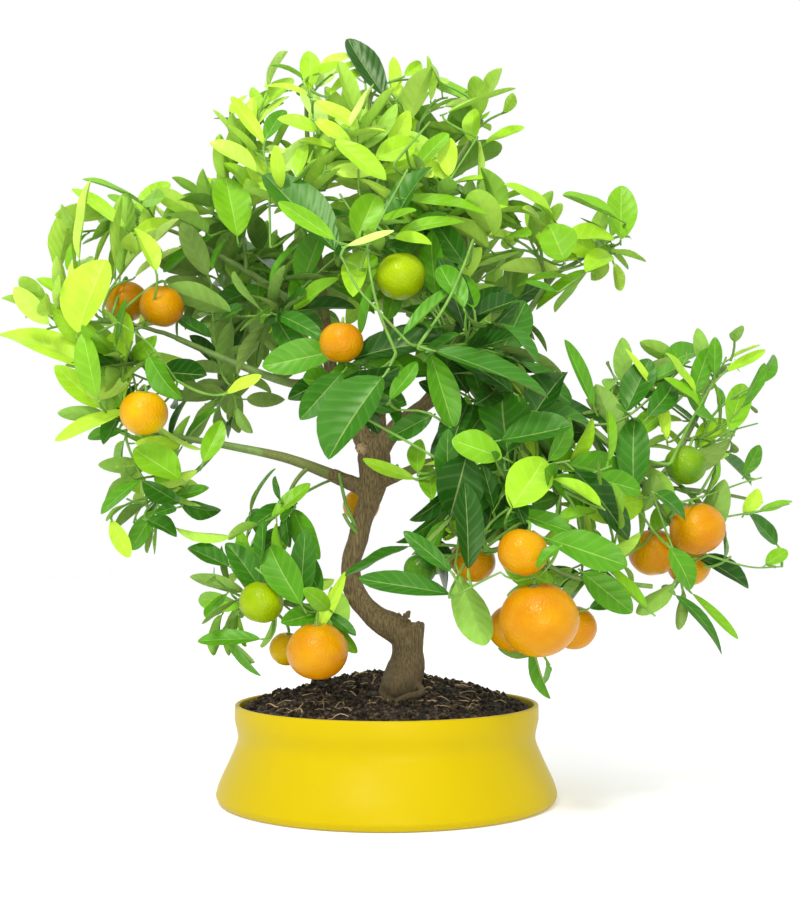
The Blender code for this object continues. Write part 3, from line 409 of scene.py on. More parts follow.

# Each broad leaf of the side that is seen: its base, its tip and its width in millimetres, and its youth,
# which sets its tint: partly its age, partly a painted sheen on a few pale leaves and painted shade on the
# darkest
BLADES = placed(Blade, (
    ((-192, -45, 291), (-179, -50, 338), 33, 2.5), ((-186, -30, 271), (-239, -30, 305), 24, 2.5),
    ((-169, 20, 381), (-151, 30, 413), 18, 2.0), ((-146, -35, 334), (-159, -30, 365), 15, 2.5),
    ((-97, -15, 359), (-105, -5, 407), 26, 1.5), ((-85, -10, 404), (-114, -15, 425), 16, 3.0),
    ((-51, -10, 459), (-51, -5, 491), 14, 2.0), ((-29, -75, 335), (-73, -60, 390), 31, 0.5),
    ((1, -20, 448), (-25, -5, 490), 19, 0.0), ((38, -20, 440), (81, -35, 452), 19, 2.0),
    ((-18, -65, 346), (-7, -60, 374), 22, 1.5), ((10, -70, 370), (62, -75, 368), 15, 1.5),
    ((111, -40, 340), (102, -45, 362), 25, 1.5), ((155, 5, 363), (157, 10, 402), 21, 1.5),
    ((0, -105, 258), (-33, -120, 215), 35, 0.5), ((-27, -64, 278), (-72, -72, 269), 22, 1.0),
    ((25, -100, 273), (90, -115, 252), 22, 0.5), ((26, -90, 272), (41, -95, 229), 19, 1.0),
    ((71, -90, 214), (68, -80, 255), 31, 0.5), ((65, -100, 220), (105, -105, 226), 28, 0.5),
    ((87, -80, 236), (106, -70, 265), 27, 0.0), ((66, -115, 209), (38, -120, 219), 20, 1.5),
    ((46, -110, 210), (37, -115, 176), 28, 0.0), ((46, -125, 146), (47, -125, 194), 18, 0.0),
    ((70, -125, 180), (90, -120, 210), 25, 2.0), ((89, -120, 164), (132, -125, 150), 22, 1.0),
    ((114, -95, 144), (141, -100, 121), 18, 1.0), ((145, -85, 192), (146, -80, 238), 20, 0.5),
    ((150, -36, 244), (166, -30, 277), 21, 0.5), ((191, -50, 152), (223, -55, 140), 16, 0.0),
    ((-75, -34, 132), (-97, -30, 162), 20, 1.0), ((-49, -70, 123), (-72, -60, 159), 21, 1.0),
    ((-128, -35, 201), (-156, -40, 221), 24, 1.5), ((-51, -30, 449), (-76, -35, 460), 9, 2.5),
    ((-37, -20, 452), (-13, -15, 479), 10, 2.0), ((7, 5, 460), (4, 10, 488), 9, 2.5),
    ((56, -10, 426), (55, -5, 452), 13, 2.0), ((66, 0, 427), (93, 5, 443), 9, 2.0),
    ((42, -30, 391), (70, -35, 395), 14, 2.0), ((39, -45, 391), (38, -40, 419), 13, 2.5),
    ((-79, -20, 419), (-102, -15, 453), 10, 2.5), ((-83, 0, 444), (-91, 5, 470), 9, 2.0),
    ((-78, -20, 424), (-67, -15, 450), 12, 1.0), ((-91, 10, 439), (-115, 15, 457), 6, 0.5),
    ((-45, -50, 419), (-67, -55, 431), 12, 2.0), ((-45, -40, 441), (-17, -50, 424), 13, 2.5),
    ((-43, -60, 421), (-21, -65, 407), 10, 2.5), ((-31, -70, 406), (0, -75, 380), 15, 2.0),
    ((-5, -55, 400), (20, -55, 412), 17, 2.0), ((18, -50, 395), (39, -40, 421), 11, 1.5),
    ((-55, -50, 389), (-53, -45, 416), 10, 2.0), ((-29, -85, 340), (-62, -85, 363), 11, 1.5),
    ((6, -90, 341), (27, -95, 341), 9, 2.0), ((-22, -95, 335), (6, -100, 342), 7, 3.5),
    ((7, -80, 346), (44, -80, 361), 11, 1.5), ((48, -60, 332), (29, -55, 361), 16, 0.5),
    ((-166, -20, 362), (-202, -15, 397), 10, 2.0), ((-163, -30, 245), (-210, -35, 231), 14, 2.5),
    ((-147, -45, 277), (-132, -50, 249), 16, 1.0), ((-151, -20, 176), (-131, -20, 169), 15, 0.5),
    ((-115, -30, 213), (-103, -30, 239), 13, 1.5), ((-174, -20, 175), (-162, -20, 151), 11, 2.5),
    ((-96, -60, 253), (-75, -65, 264), 9, 2.5), ((130, -40, 244), (113, -35, 287), 11, 1.0),
    ((168, -35, 258), (151, -35, 285), 6, 2.5), ((193, -30, 255), (205, -30, 286), 13, 1.0),
    ((207, -30, 268), (208, -30, 293), 9, 1.0), ((213, -30, 269), (240, -30, 284), 7, 2.0),
    ((172, -50, 225), (167, -45, 255), 10, 2.5), ((193, -40, 221), (213, -35, 243), 15, 2.0),
    ((228, -20, 206), (238, -20, 225), 10, 1.0), ((225, -30, 181), (237, -30, 197), 10, 2.5),
    ((235, -30, 182), (256, -30, 188), 8, 1.5), ((247, -20, 161), (230, -20, 180), 18, 0.5),
    ((238, -30, 149), (252, -30, 159), 10, 1.5), ((173, -60, 131), (209, -60, 103), 9, 0.5),
    ((185, -50, 132), (214, -50, 105), 7, 1.5), ((156, -100, 189), (177, -100, 178), 13, 0.5),
    ((163, -100, 158), (178, -100, 135), 14, 1.0), ((101, -70, 188), (85, -70, 184), 12, 1.0),
    ((93, -140, 158), (79, -145, 150), 9, 1.0), ((36, -120, 146), (10, -120, 169), 10, 0.5),
    ((37, -110, 132), (-12, -115, 145), 15, 0.5), ((153, -90, 122), (124, -90, 152), 16, 1.5),
    ((-74, -60, 104), (-112, -60, 105), 13, 1.0), ((-76, -50, 133), (-95, -50, 163), 15, 0.5),
    ((-52, -55, 124), (-49, -55, 169), 16, 0.5), ((-45, -70, 104), (-22, -70, 143), 8, 2.5),
    ((26, -80, 236), (1, -85, 224), 14, 0.5), ((16, -70, 200), (-14, -75, 211), 8, 2.0),
    ((50, -70, 241), (20, -70, 259), 14, 0.0), ((51, -50, 215), (77, -50, 219), 16, 0.5),
    ((99, -110, 174), (120, -110, 183), 12, 1.5), ((120, -120, 182), (98, -120, 202), 10, 2.0),
    ((10, -100, 281), (40, -90, 313), 10, 1.0), ((3, -100, 244), (19, -100, 267), 10, 1.0),
    ((19, -70, 205), (19, -65, 226), 12, 1.5),
))

# Each twig of that side: its radius and its centre line in millimetres
SPRAYS = placed(Spray, (
    (0.9, ((-46, -30, 387), (-47, -30, 430), (-50, -25, 454))),
    (0.9, ((-72, -50, 346), (-74, -45, 387), (-79, -30, 413))), (0.8, ((-17, -60, 379), (-18, -50, 417))),
    (1.1, ((5, -70, 392), (27, -60, 421))), (1.1, ((-15, -85, 324), (-7, -90, 344), (13, -80, 385))),
    (0.9, ((38, -50, 385), (58, -30, 421))),
    (1.1, ((114, -55, 240), (139, -60, 217), (156, -65, 199), (167, -90, 157), (171, -95, 154))),
    (1, ((126, -45, 234), (148, -45, 239), (184, -40, 271), (187, -40, 281))),
    (1.1, ((166, -90, 208), (186, -60, 237), (204, -40, 261), (214, -35, 270))),
    (1.1, ((190, -60, 192), (205, -50, 214), (221, -40, 239))),
    (0.8, ((194, -50, 217), (212, -45, 230), (231, -40, 236))),
    (0.8, ((172, -90, 185), (196, -60, 191), (225, -30, 200), (237, -25, 203))),
    (0.8, ((203, -60, 177), (228, -40, 181), (251, -35, 186))),
    (0.8, ((190, -80, 154), (222, -50, 147), (247, -30, 147))),
    (0.8, ((37, -120, 131), (64, -125, 145), (85, -130, 152))),
    (0.8, ((-131, -40, 263), (-146, -50, 284), (-166, -50, 298))),
    (1.2, ((6, -100, 271), (-4, -100, 296), (-9, -95, 319), (-11, -90, 337))),
    (1, ((13, -100, 277), (-4, -108, 294), (-16, -105, 308), (-26, -100, 328))),
    (1.2, ((19, -100, 275), (35, -100, 299), (45, -90, 322), (52, -80, 342))),
    (1, ((42, -90, 225), (25, -90, 237), (7, -90, 239))),
))

# Leaf colours from the oldest in the shade to the newest at the tips; the darkest also stand for shade in the
# crown, painted shade
LEAF_COLOURS = (
    ("shaded", "#1A4A0C"), ("deep", "#306A12"), ("mature", "#4C8A14"), ("mid", "#70A81A"),
    ("fresh", "#90C022"), ("bright", "#A8D034"), ("young", "#B2DA4E"), ("newest", "#BEE26E"),
)
UNDERSIDE_TINT = "#BBDD70"
UNDERSIDE_SHARE = 0.35
RIB_TINT = "#CFE08A"
RIB_SHARE = 0.25
VEIN_SHARE = 0.35
VEIN_TINT_SHARE = 0.09
LEAF_GLOSS = (0.35, 0.15)
FRUIT_COLOURS = {
    "ripe": ("#C08A00", "#B47200"), "yellow": ("#CEAA00", "#C48E00"),
    "turning": ("#94AC00", "#809C00"), "unripe": ("#68900A", "#3C6E10"), "green": ("#43780E", "#1F4F16"),
}
# Leaves: sizes as shares of a leaf's length, and the pulls that set how a leaf lies
LEAF_STEPS = 12
CORE_ROWS = (2, 5, 8)
CORE_FACES = ((0, 2, 3), (0, 3, 4), (2, 5, 6, 3), (3, 6, 7, 4), (5, 8, 9, 6), (6, 9, 10, 7), (8, 1, 9),
              (9, 1, 10))
LEAF_ACROSS = (-1.0, -0.58, -0.035, 0.035, 0.58, 1.0)
LEAF_BASE_CURVE = 0.72
LEAF_TIP_CURVE = 0.66
LEAF_WIDEST = LEAF_BASE_CURVE / (LEAF_BASE_CURVE + LEAF_TIP_CURVE)
LEAF_FULLEST = LEAF_WIDEST ** LEAF_BASE_CURVE * (1.0 - LEAF_WIDEST) ** LEAF_TIP_CURVE
LEAF_GROOVE = 0.008
GROOVE_HALF = 0.1
LEAF_WAVES = 3.0
# The least and the most of a leaf's fold, droop, twist, wave and the wave's start
LEAF_SHAPE = ((0.2, 0.6), (-0.08, 0.34), (-0.6, 0.6), (0.0, 0.12), (0.0, math.tau))
LEAF_WIDTH_STRAY = (0.8, 1.2)
LEAF_SPREAD = 1.14
OLD_STRAY = -1.2
OLD_STRAY_GAIN = 0.6
YOUNG_STRAY = 1.2
TIP_YOUTH = 0.6
LEAVES_DOWN = 0.85
LEAF_TRIES = 9
LEAF_CORE = 0.86
LEAF_BALL = 0.55
LEAF_APART = 0.0115
MOST_LEAVES = 6000
LARGEST_LEAF = 1.05
SMALLEST_LEAF = 0.6
LEAF_SHRINK = 0.3
LEAF_FORWARD = 0.75
LEAF_ASIDE = 0.95
TIP_LEAF_ASIDE = 0.2
LEAF_LIFT = 0.4
FACE_TIP = 0.7
FACE_UP = 0.45
FACE_OPEN_SIDE = 0.45
FACE_STRAY = 0.35
BLADE_FACE = Vector((0.0, -0.8, 0.6))
CROWN_CENTRE = Vector((0.0, 0.0, 0.25))
PETIOLE = (0.004, 0.008)
PETIOLE_LEAF = 0.05
PETIOLE_RADII = (0.00065, 0.00055)
PETIOLE_POINTS = 3
PETIOLE_SIDES = 5
PETIOLE_BEND = 0.6
PETIOLE_SAG = 0.0004
# Stems and shoots: how a stem leaves its bough, then the shoots and the finer twigs on them
LIMB_STEP = 0.026
STEM_FORWARD = 0.45
STEM_INSET = 0.5
STEM_POINTS = 12
STEM_SIDES = 10
SHOOT_LENGTH = (0.045, 0.085)
SHOOT_SHORTEST = 0.014
SHOOT_FLOW = 0.35
SHOOT_RISE = 0.6
SHOOT_PLACES = (0.35, 1.0)
SHOOT_BAND = (0.2, 0.8)
SHOOT_STRAY = 0.6
SHOOT_STEP = 0.006
SHOOT_ROOM = 0.9
SHOOT_BOW = 0.4
SHOOT_SHORTENED = 0.85
SIDE_TWIGS = 2
SIDE_TWIG_LENGTH = (0.02, 0.045)
SIDE_TWIG_PLACES = (0.25, 0.75)
SIDE_TWIG_SPREAD = 0.9
TWIG_SIDES = 7
# What leaves don't stand in front of: fruit nearer than this, broad leaves and the trunk
OPEN_FRUIT_Y = 0.02
OPEN_FRUIT_SHARE = 0.62
OPEN_BLADE_SHARE = 0.35
OPEN_SHARE = 0.2
OPEN_PLACES = (0.3, 0.5, 0.7)
# Stalks of the fruit and the broad leaves, the twigs placed one by one, and their room round a fruit
FRUIT_GAP = 0.0025
STALK_PLACE = 0.8
STALK_BOW = 0.3
STALK_GAP = 0.001
STALK_TIP = 0.9
STALK_POINTS = 10
BLADE_STALK = (0.0009, 0.0007)
BLADE_STALK_POINTS = 8
BLADE_STALK_SIDES = 6
BLADE_OVERLAP = 0.004
SPRAY_BOW = 0.15
SPRAY_JOIN_POINTS = 6
SPRAY_SIDES = 8
SPRAY_TIP = 0.6
# Fruit: shape and tilt, with the dimple at each end, and the star of the calyx as shares of its size
FRUIT_GRID = (40, 26)
FRUIT_FLATTENED = 0.93
FRUIT_UNEVEN = 0.02
FRUIT_SWELLS = 1.3
FRUIT_LEAN = (-0.3, 0.3)
DIMPLE_DEPTH = 0.09
DIMPLE_SPREAD = 0.06
LOW_DIMPLE = 0.5
CALYX_DEPTH = 0.085
CALYX_SIZE = 0.2
CALYX_POINTS = 10
CALYX_NOTCH = 0.5
CALYX_RISE = 0.12
CALYX_THICK = 0.35
CALYX_PEAK = 0.45
CALYX_FLOOR = 0.4


def linear(code):
    """A hex sRGB colour as linear red, green and blue."""
    values = [int(code[i:i + 2], 16) / 255 for i in (1, 3, 5)]
    return tuple(v / 12.92 if v <= 0.04045 else ((v + 0.055) / 1.055) ** 2.4 for v in values)


def mixed(colour, other, share):
    return tuple(a + (b - a) * share for a, b in zip(colour, other))


def add_node(material, kind, inputs, **settings):
    """Adds a node with its settings, and fills its inputs with values or with other nodes' outputs."""
    tree = material.node_tree
    node = tree.nodes.new(kind)
    for name, value in settings.items():
        setattr(node, name, value)
    for name, value in inputs.items():
        if isinstance(value, bpy.types.NodeSocket):
            tree.links.new(value, node.inputs[name])
        else:
            node.inputs[name].default_value = value
    return node


def new_material(name, **sockets):
    """A Principled material with these values on the shader's own sockets, and its shader."""
    material = bpy.data.materials.new(name)
    material.use_nodes = True
    shader = material.node_tree.nodes["Principled BSDF"]
    for socket, value in sockets.items():
        shader.inputs[socket.replace("_", " ")].default_value = value
    return material, shader


def object_place(material):
    """The place on the piece, in metres, that a pattern of real size reads."""
    return add_node(material, "ShaderNodeTexCoord", {}).outputs["Object"]


def stretched_noise(material, scale, detail, stretch):
    """Noise with its patches scale to the metre, drawn out along an axis where stretch is below one."""
    place = add_node(material, "ShaderNodeMapping", {"Vector": object_place(material), "Scale": stretch})
    return add_node(material, "ShaderNodeTexNoise",
                    {"Vector": place.outputs["Vector"], "Scale": scale, "Detail": detail}).outputs["Fac"]


def painted(material, shader, colour):
    """Takes the surface's colour from a node, and returns it."""
    material.node_tree.links.new(colour, shader.inputs["Base Color"])
    return colour


def embossed(material, shader, height, distance):
    """Raises the surface by a pattern, this deep."""
    bump = add_node(material, "ShaderNodeBump", {"Height": height, "Distance": distance})
    material.node_tree.links.new(bump.outputs["Normal"], shader.inputs["Normal"])


def blended(material, share, colour, other):
    """One colour laid over another by a share, all of them nodes or values."""
    inputs = {"Fac": share, "Color1": colour, "Color2": other}
    return add_node(material, "ShaderNodeMixRGB", inputs).outputs["Color"]


def mottled(material, shader, colours, scale, detail=3.0, stretch=EVENLY):
    """Spreads colours over the surface in patches, scale of them to the metre. Returns the colour."""
    patches = stretched_noise(material, scale, detail, stretch)
    ramp = add_node(material, "ShaderNodeValToRGB", {"Fac": patches})
    stops = ramp.color_ramp.elements
    stops[0].position, stops[1].position = TONE_START, TONE_START + TONE_SPAN
    stops[0].color, stops[1].color = (*colours[0], 1.0), (*colours[-1], 1.0)
    for i, colour in enumerate(colours[1:-1], 1):
        stops.new(TONE_START + TONE_SPAN * i / (len(colours) - 1)).color = (*colour, 1.0)
    return painted(material, shader, ramp.outputs["Color"])


def roughened(material, shader, scale, distance, detail=2.0, stretch=EVENLY):
    """Adds fine relief, scale of its bumps to the metre and distance deep."""
    embossed(material, shader, stretched_noise(material, scale, detail, stretch), distance)


def moulded_plastic(colour):
    """Moulded polypropylene: a satin sheen with a faint unevenness from the mould."""
    material, shader = new_material("moulded_polypropylene", Roughness=0.4, IOR=1.49, Specular_IOR_Level=0.14,
                                    Specular_Tint=(1.0, 0.95, 0.6, 1.0))
    mottled(material, shader, (mixed(colour, BLACK, 0.05), colour), 14.0)
    roughened(material, shader, 900.0, 0.00004)
    return material


def potting_mix(colour):
    """Moist peat and bark: near black, dull, with crumbs of 1 to 3 mm."""
    material, shader = new_material("moist_potting_mix", Roughness=0.9, IOR=1.4)
    mottled(material, shader, (mixed(colour, BLACK, 0.6), colour, mixed(colour, (0.3, 0.2, 0.1), 0.3)), 350.0)
    roughened(material, shader, 700.0, 0.0012)
    return material


def dry_fibre(colour):
    """Dry root hairs: pale and matt, browner in places."""
    material, shader = new_material("dry_root_fibre", Roughness=0.75, IOR=1.45)
    mottled(material, shader, (mixed(colour, BLACK, 0.5), colour), 160.0)
    return material


def citrus_bark(name, colours, furrow):
    """Citrus bark: dull, with fine lengthwise furrows, and darker towards the trunk's foot, down to the soil.
    """
    material, shader = new_material(name, Roughness=0.82, IOR=1.45)
    lengthwise = (1.0, 1.0, FURROW_STRETCH)
    bark = mottled(material, shader, colours, 1.5 / furrow, 4.0, lengthwise)
    roughened(material, shader, 1.8 / furrow, 0.0007, 5.0, lengthwise)
    height = add_node(material, "ShaderNodeSeparateXYZ", {"Vector": object_place(material)}).outputs["Z"]
    # The bark is darker towards the bottom, more so the lower it lies between the two heights
    darker_below = add_node(material, "ShaderNodeMapRange",
                    {"Value": height, "From Min": DARKER_BELOW_Z[0], "From Max": DARKER_BELOW_Z[1],
                     "To Min": DARKER_BELOW_SHARE, "To Max": 0.0}).outputs["Result"]
    painted(material, shader, blended(material, darker_below, bark, (*mixed(colours[0], BLACK, DARKER_BELOW_TONE), 1.0)))
    return material


def cut_wood(colour):
    """Wood where a bough was cut away: pale and matt, with its rings washed out."""
    material, shader = new_material("weathered_cut_wood", Roughness=0.8, IOR=1.5)
    mottled(material, shader, (mixed(colour, BLACK, 0.35), colour), 700.0)
    roughened(material, shader, 900.0, 0.0004)
    return material


def green_bark(name, colour, dark):
    """Young citrus bark: smooth and green, waxy enough for a soft sheen."""
    material, shader = new_material(name, Roughness=0.5, IOR=1.45)
    mottled(material, shader, (dark, colour), 120.0)
    roughened(material, shader, 1500.0, 0.0002)
    return material


def leaf_surface(name, colour, roughness, gloss, vein_depth):
    """Citrus leaf: a waxy cuticle over a blade whose side veins are paler and a little raised."""
    material, shader = new_material(name, Roughness=roughness, IOR=1.45, Specular_IOR_Level=gloss,
                                    Specular_Tint=(0.85, 1.0, 0.6, 1.0))
    blade = mottled(material, shader, (mixed(colour, BLACK, 0.16), colour), 70.0)
    place = add_node(material, "ShaderNodeUVMap", {}, uv_map="blade").outputs["UV"]
    veins = add_node(material, "ShaderNodeTexWave", {"Vector": place, "Scale": 1.0, "Distortion": 1.2,
                                                     "Detail": 1.0}, bands_direction="X").outputs["Fac"]
    lines = add_node(material, "ShaderNodeMapRange",
                     {"Value": veins, "From Min": VEIN_EDGE, "To Max": VEIN_SHARE})
    tint = (*mixed(colour, linear(RIB_TINT), VEIN_TINT_SHARE), 1.0)
    painted(material, shader, blended(material, lines.outputs["Result"], blade, tint))
    embossed(material, shader, veins, vein_depth)
    return material


def leaf_finishes(name, colour, gloss):
    """The three surfaces of a leaf: glossy above, paler and duller below, light along the rib."""
    under = mixed(colour, linear(UNDERSIDE_TINT), UNDERSIDE_SHARE)
    rib = mixed(colour, linear(RIB_TINT), RIB_SHARE)
    return (leaf_surface(name + "_cuticle", colour, 0.34, gloss, 0.0001),
            leaf_surface(name + "_underside", under, 0.65, 0.08, 0.00015),
            leaf_surface(name + "_rib", rib, 0.5, 0.1, 0.0))


def citrus_rind(name, colour, deep, pore):
    """Citrus rind: waxy and bright, dimpled all over by oil glands."""
    material, shader = new_material(name, Roughness=0.3, IOR=1.46, Specular_IOR_Level=0.3,
                                    Specular_Tint=(1.0, 0.85, 0.5, 1.0))
    mottled(material, shader, (deep, colour), 45.0)
    glands = add_node(material, "ShaderNodeTexVoronoi",
                      {"Vector": object_place(material), "Scale": 1.0 / pore}, feature="SMOOTH_F1")
    embossed(material, shader, glands.outputs["Distance"], pore * PORE_DEPTH)
    return material


def link_piece(name, mesh):
    piece = bpy.data.objects.new(name, mesh)
    bpy.context.scene.collection.objects.link(piece)
    return piece


def settle(piece, nodes=()):
    """Fixes a finished piece to the tree's body and the nodes it stands for."""
    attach(piece, "root")
    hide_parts(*nodes)


def apply_modifiers(piece):
    bpy.context.view_layer.update()
    mesh = bpy.data.meshes.new_from_object(piece.evaluated_get(bpy.context.evaluated_depsgraph_get()))
    piece.modifiers.clear()
    piece.data = mesh


class Joined:
    """Gathers the points, faces, face materials and pattern places of many small things for one mesh."""

    def __init__(self):
        self.points, self.faces, self.slots, self.places = [], [], [], []

    def add(self, points, faces, slots=0, places=None):
        start = len(self.points)
        self.points.extend(points)
        self.faces.extend([start + i for i in face] for face in faces)
        self.slots.extend(slots if isinstance(slots, list) else [slots] * len(faces))
        if places is not None:
            self.places.extend(places)

    def build(self, name, finishes):
        mesh = bpy.data.meshes.new(name)
        mesh.from_pydata(self.points, [], self.faces)
        mesh.polygons.foreach_set("material_index", self.slots)
        if self.places:
            corners = np.empty(len(mesh.loops), int)
            mesh.loops.foreach_get("vertex_index", corners)
            spread = np.array(self.places, np.float32)[corners]
            mesh.uv_layers.new(name="blade").data.foreach_set("uv", spread.ravel())
        for finish in finishes:
            mesh.materials.append(finish)
        mesh.shade_smooth()
        mesh.set_sharp_from_angle(angle=SHARP_EDGE)
        return link_piece(name, mesh)


def smooth_route(points, step):
    """Points about one step apart on the smooth curve that runs through the given points."""
    anchors = [Vector(p) for p in points]
    ends = [2 * anchors[0] - anchors[1]] + anchors + [2 * anchors[-1] - anchors[-2]]
    route = []
    for a, b, c, d in zip(ends, ends[1:], ends[2:], ends[3:]):
        pieces = max(1, round((c - b).length / step))
        for i in range(pieces):
            t = i / pieces
            route.append(0.5 * (2 * b + (c - a) * t + (2 * a - 5 * b + 4 * c - d) * t ** 2
                                + (3 * b - a - 3 * c + d) * t ** 3))
    route.append(anchors[-1])
    return route


def bent_route(start, control, end, pieces):
    return [(1 - t) ** 2 * start + 2 * t * (1 - t) * control + t ** 2 * end
            for t in (i / pieces for i in range(pieces + 1))]


def along(route, share):
    """The point, and the direction, at a share of a route's points."""
    place = min(max(share, 0.0), 1.0) * (len(route) - 1)
    first = min(int(place), len(route) - 2)
    step = route[first + 1] - route[first]
    return route[first] + step * (place - first), step.normalized()


def tapered(count, thick, thin):
    return [thick + (thin - thick) * i / (count - 1) for i in range(count)]


def sweep(route, radii, sides, relief=None):
    """The points and faces of a round rod along a route, its ends closed. The relief, if given,
    moves each point in or out by its angle and its distance along the route."""
    points, travelled = [], 0.0
    side = (route[1] - route[0]).orthogonal().normalized()
    for i, (centre, radius) in enumerate(zip(route, radii)):
        before, after = route[max(i - 1, 0)], route[min(i + 1, len(route) - 1)]
        forward = (after - before).normalized()
        side = (side - forward * side.dot(forward)).normalized()
        other = forward.cross(side)
        travelled += (centre - before).length
        for j in range(sides):
            turn = math.tau * j / sides
            out = radius + (relief(turn, travelled, radius) if relief else 0.0)
            points.append(centre + (side * math.cos(turn) + other * math.sin(turn)) * out)
    faces = []
    for first in range(0, (len(route) - 1) * sides, sides):
        faces += band(first, first + sides, sides)
    faces.append(tuple(range(sides))[::-1])
    faces.append(tuple(range(len(points) - sides, len(points))))
    return points, faces


def band(first, second, sides):
    """The faces between two rings of points, by the numbers of the rings' first points."""
    return [(first + j, first + (j + 1) % sides, second + (j + 1) % sides, second + j) for j in range(sides)]


def noise_shift(chance):
    """A place far off in the noise, so that no two things swell alike."""
    return Vector([chance.uniform(*NOISE_REACH) for _ in range(3)])


def lump(centre, radii, relief, chance, detail=2):
    """The points and faces of a small uneven ball."""
    body = bmesh.new()
    bmesh.ops.create_icosphere(body, subdivisions=detail, radius=1.0)
    shift = noise_shift(chance)
    points = []
    for vert in body.verts:
        out = 1.0 + relief * noise.noise(vert.co * LUMP_SWELLS + shift)
        points.append(centre + Vector([c * r * out for c, r in zip(vert.co, radii)]))
    faces = [[v.index for v in face.verts] for face in body.faces]
    body.free()
    return points, faces


def build_pot(sizes):
    """The pot, turned in one piece: rounded lip, straight band, flared skirt and a recessed foot."""
    rim, wall, height = sizes.rim_radius, sizes.wall, POT_BOX[1].z
    skirt = POT_BOX[1].x
    flare = smooth_route(((rim, 0.0, BAND_Z), (rim - BAND_EDGE[0], 0.0, BAND_Z - BAND_EDGE[1]),
                          (WAIST_RADIUS, 0.0, WAIST_Z), (WAIST_RADIUS + FLARE_OUT, 0.0, FLARE_Z),
                          (skirt - SKIRT_IN, 0.0, SKIRT_LOW_Z), (skirt, 0.0, SKIRT_Z)), POT_STEP)
    outline = [(rim - wall, height - INNER_STEP), (rim - wall, height), (rim, height)]
    outline += [(point.x, point.z) for point in flare]
    outline += [(skirt - SKIRT_EDGE, 0.0), (FOOT_RADIUS, 0.0), (FOOT_RADIUS - FOOT_EDGE, FOOT_RECESS)]
    outline += [(0.0, FOOT_RECESS), (0.0, FOOT_RECESS + wall), (FOOT_RADIUS - wall, FOOT_RECESS + wall)]
    outline += [(WAIST_RADIUS - wall, WAIST_Z), (rim - wall, height - INNER_STEP)]
    mesh = bpy.data.meshes.new("yellow_pot")
    edges = [(i, i + 1) for i in range(len(outline) - 1)]
    mesh.from_pydata([(radius, 0.0, level) for radius, level in outline], edges, [])
    pot = link_piece("yellow_pot", mesh)
    turn = pot.modifiers.new("turn", "SCREW")
    turn.steps = turn.render_steps = POT_STEPS
    turn.use_merge_vertices = True
    turn.merge_threshold = MERGE_WITHIN
    lip = pot.modifiers.new("lip", "BEVEL")
    lip.width = sizes.lip
    lip.segments = LIP_STEPS
    lip.angle_limit = LIP_ANGLE
    apply_modifiers(pot)
    pot.data.materials.clear()
    pot.data.materials.append(moulded_plastic(tuple(sizes.colour)))
    pot.data.shade_smooth()
    pot.data.set_sharp_from_angle(angle=SHARP_EDGE)
    settle(pot, ("pot",))


def hill(x, y, top, spread):
    """The height, as a share of its top, of a smooth hill at a place."""
    return math.exp(-((x - top[0]) / spread[0]) ** 2 - ((y - top[1]) / spread[1]) ** 2)


def soil_point(x, y, mound, lift=0.0):
    """A point on the soil, or this far above it: lowest at the wall, highest just behind the trunk."""
    level = np.interp(math.hypot(x, y), SOIL_RADII, SOIL_LEVELS)
    rise = mound * hill(x, y, MOUND_TOP, MOUND_SPREAD)
    dip = SOIL_DIP * hill(x, y, DIP_PLACE, DIP_SPREAD)
    clods = CLOD_RISE * noise.fractal(Vector((x, y, 0.0)) * CLODS_PER_METRE, 1.0, 2.0, CLOD_OCTAVES)
    return Vector((x, y, level + rise - dip + clods + lift))


def build_mound(mix, edge, mound):
    """The body of the potting mix: rings of soil round a centre, closed by a skirt and a flat base."""
    points = [soil_point(0.0, 0.0, mound)]
    for i in range(1, SOIL_RINGS + 1):
        for j in range(SOIL_SPOKES):
            x, y = (edge * i / SOIL_RINGS * f(math.tau * j / SOIL_SPOKES) for f in (math.cos, math.sin))
            points.append(soil_point(x, y, mound))
    points += [Vector((p.x, p.y, POT_FLOOR_Z)) for p in points[-SOIL_SPOKES:]]
    pairs = [(j, (j + 1) % SOIL_SPOKES) for j in range(SOIL_SPOKES)]
    faces = [(0, 1 + j, 1 + k) for j, k in pairs]
    for inner in range(1, len(points) - SOIL_SPOKES, SOIL_SPOKES):
        outer = inner + SOIL_SPOKES
        faces += [(inner + j, outer + j, outer + k, inner + k) for j, k in pairs]
    faces.append(tuple(range(len(points) - SOIL_SPOKES, len(points)))[::-1])
    body = Joined()
    body.add(points, faces)
    settle(body.build("potting_mix", [mix]), ("soil",))


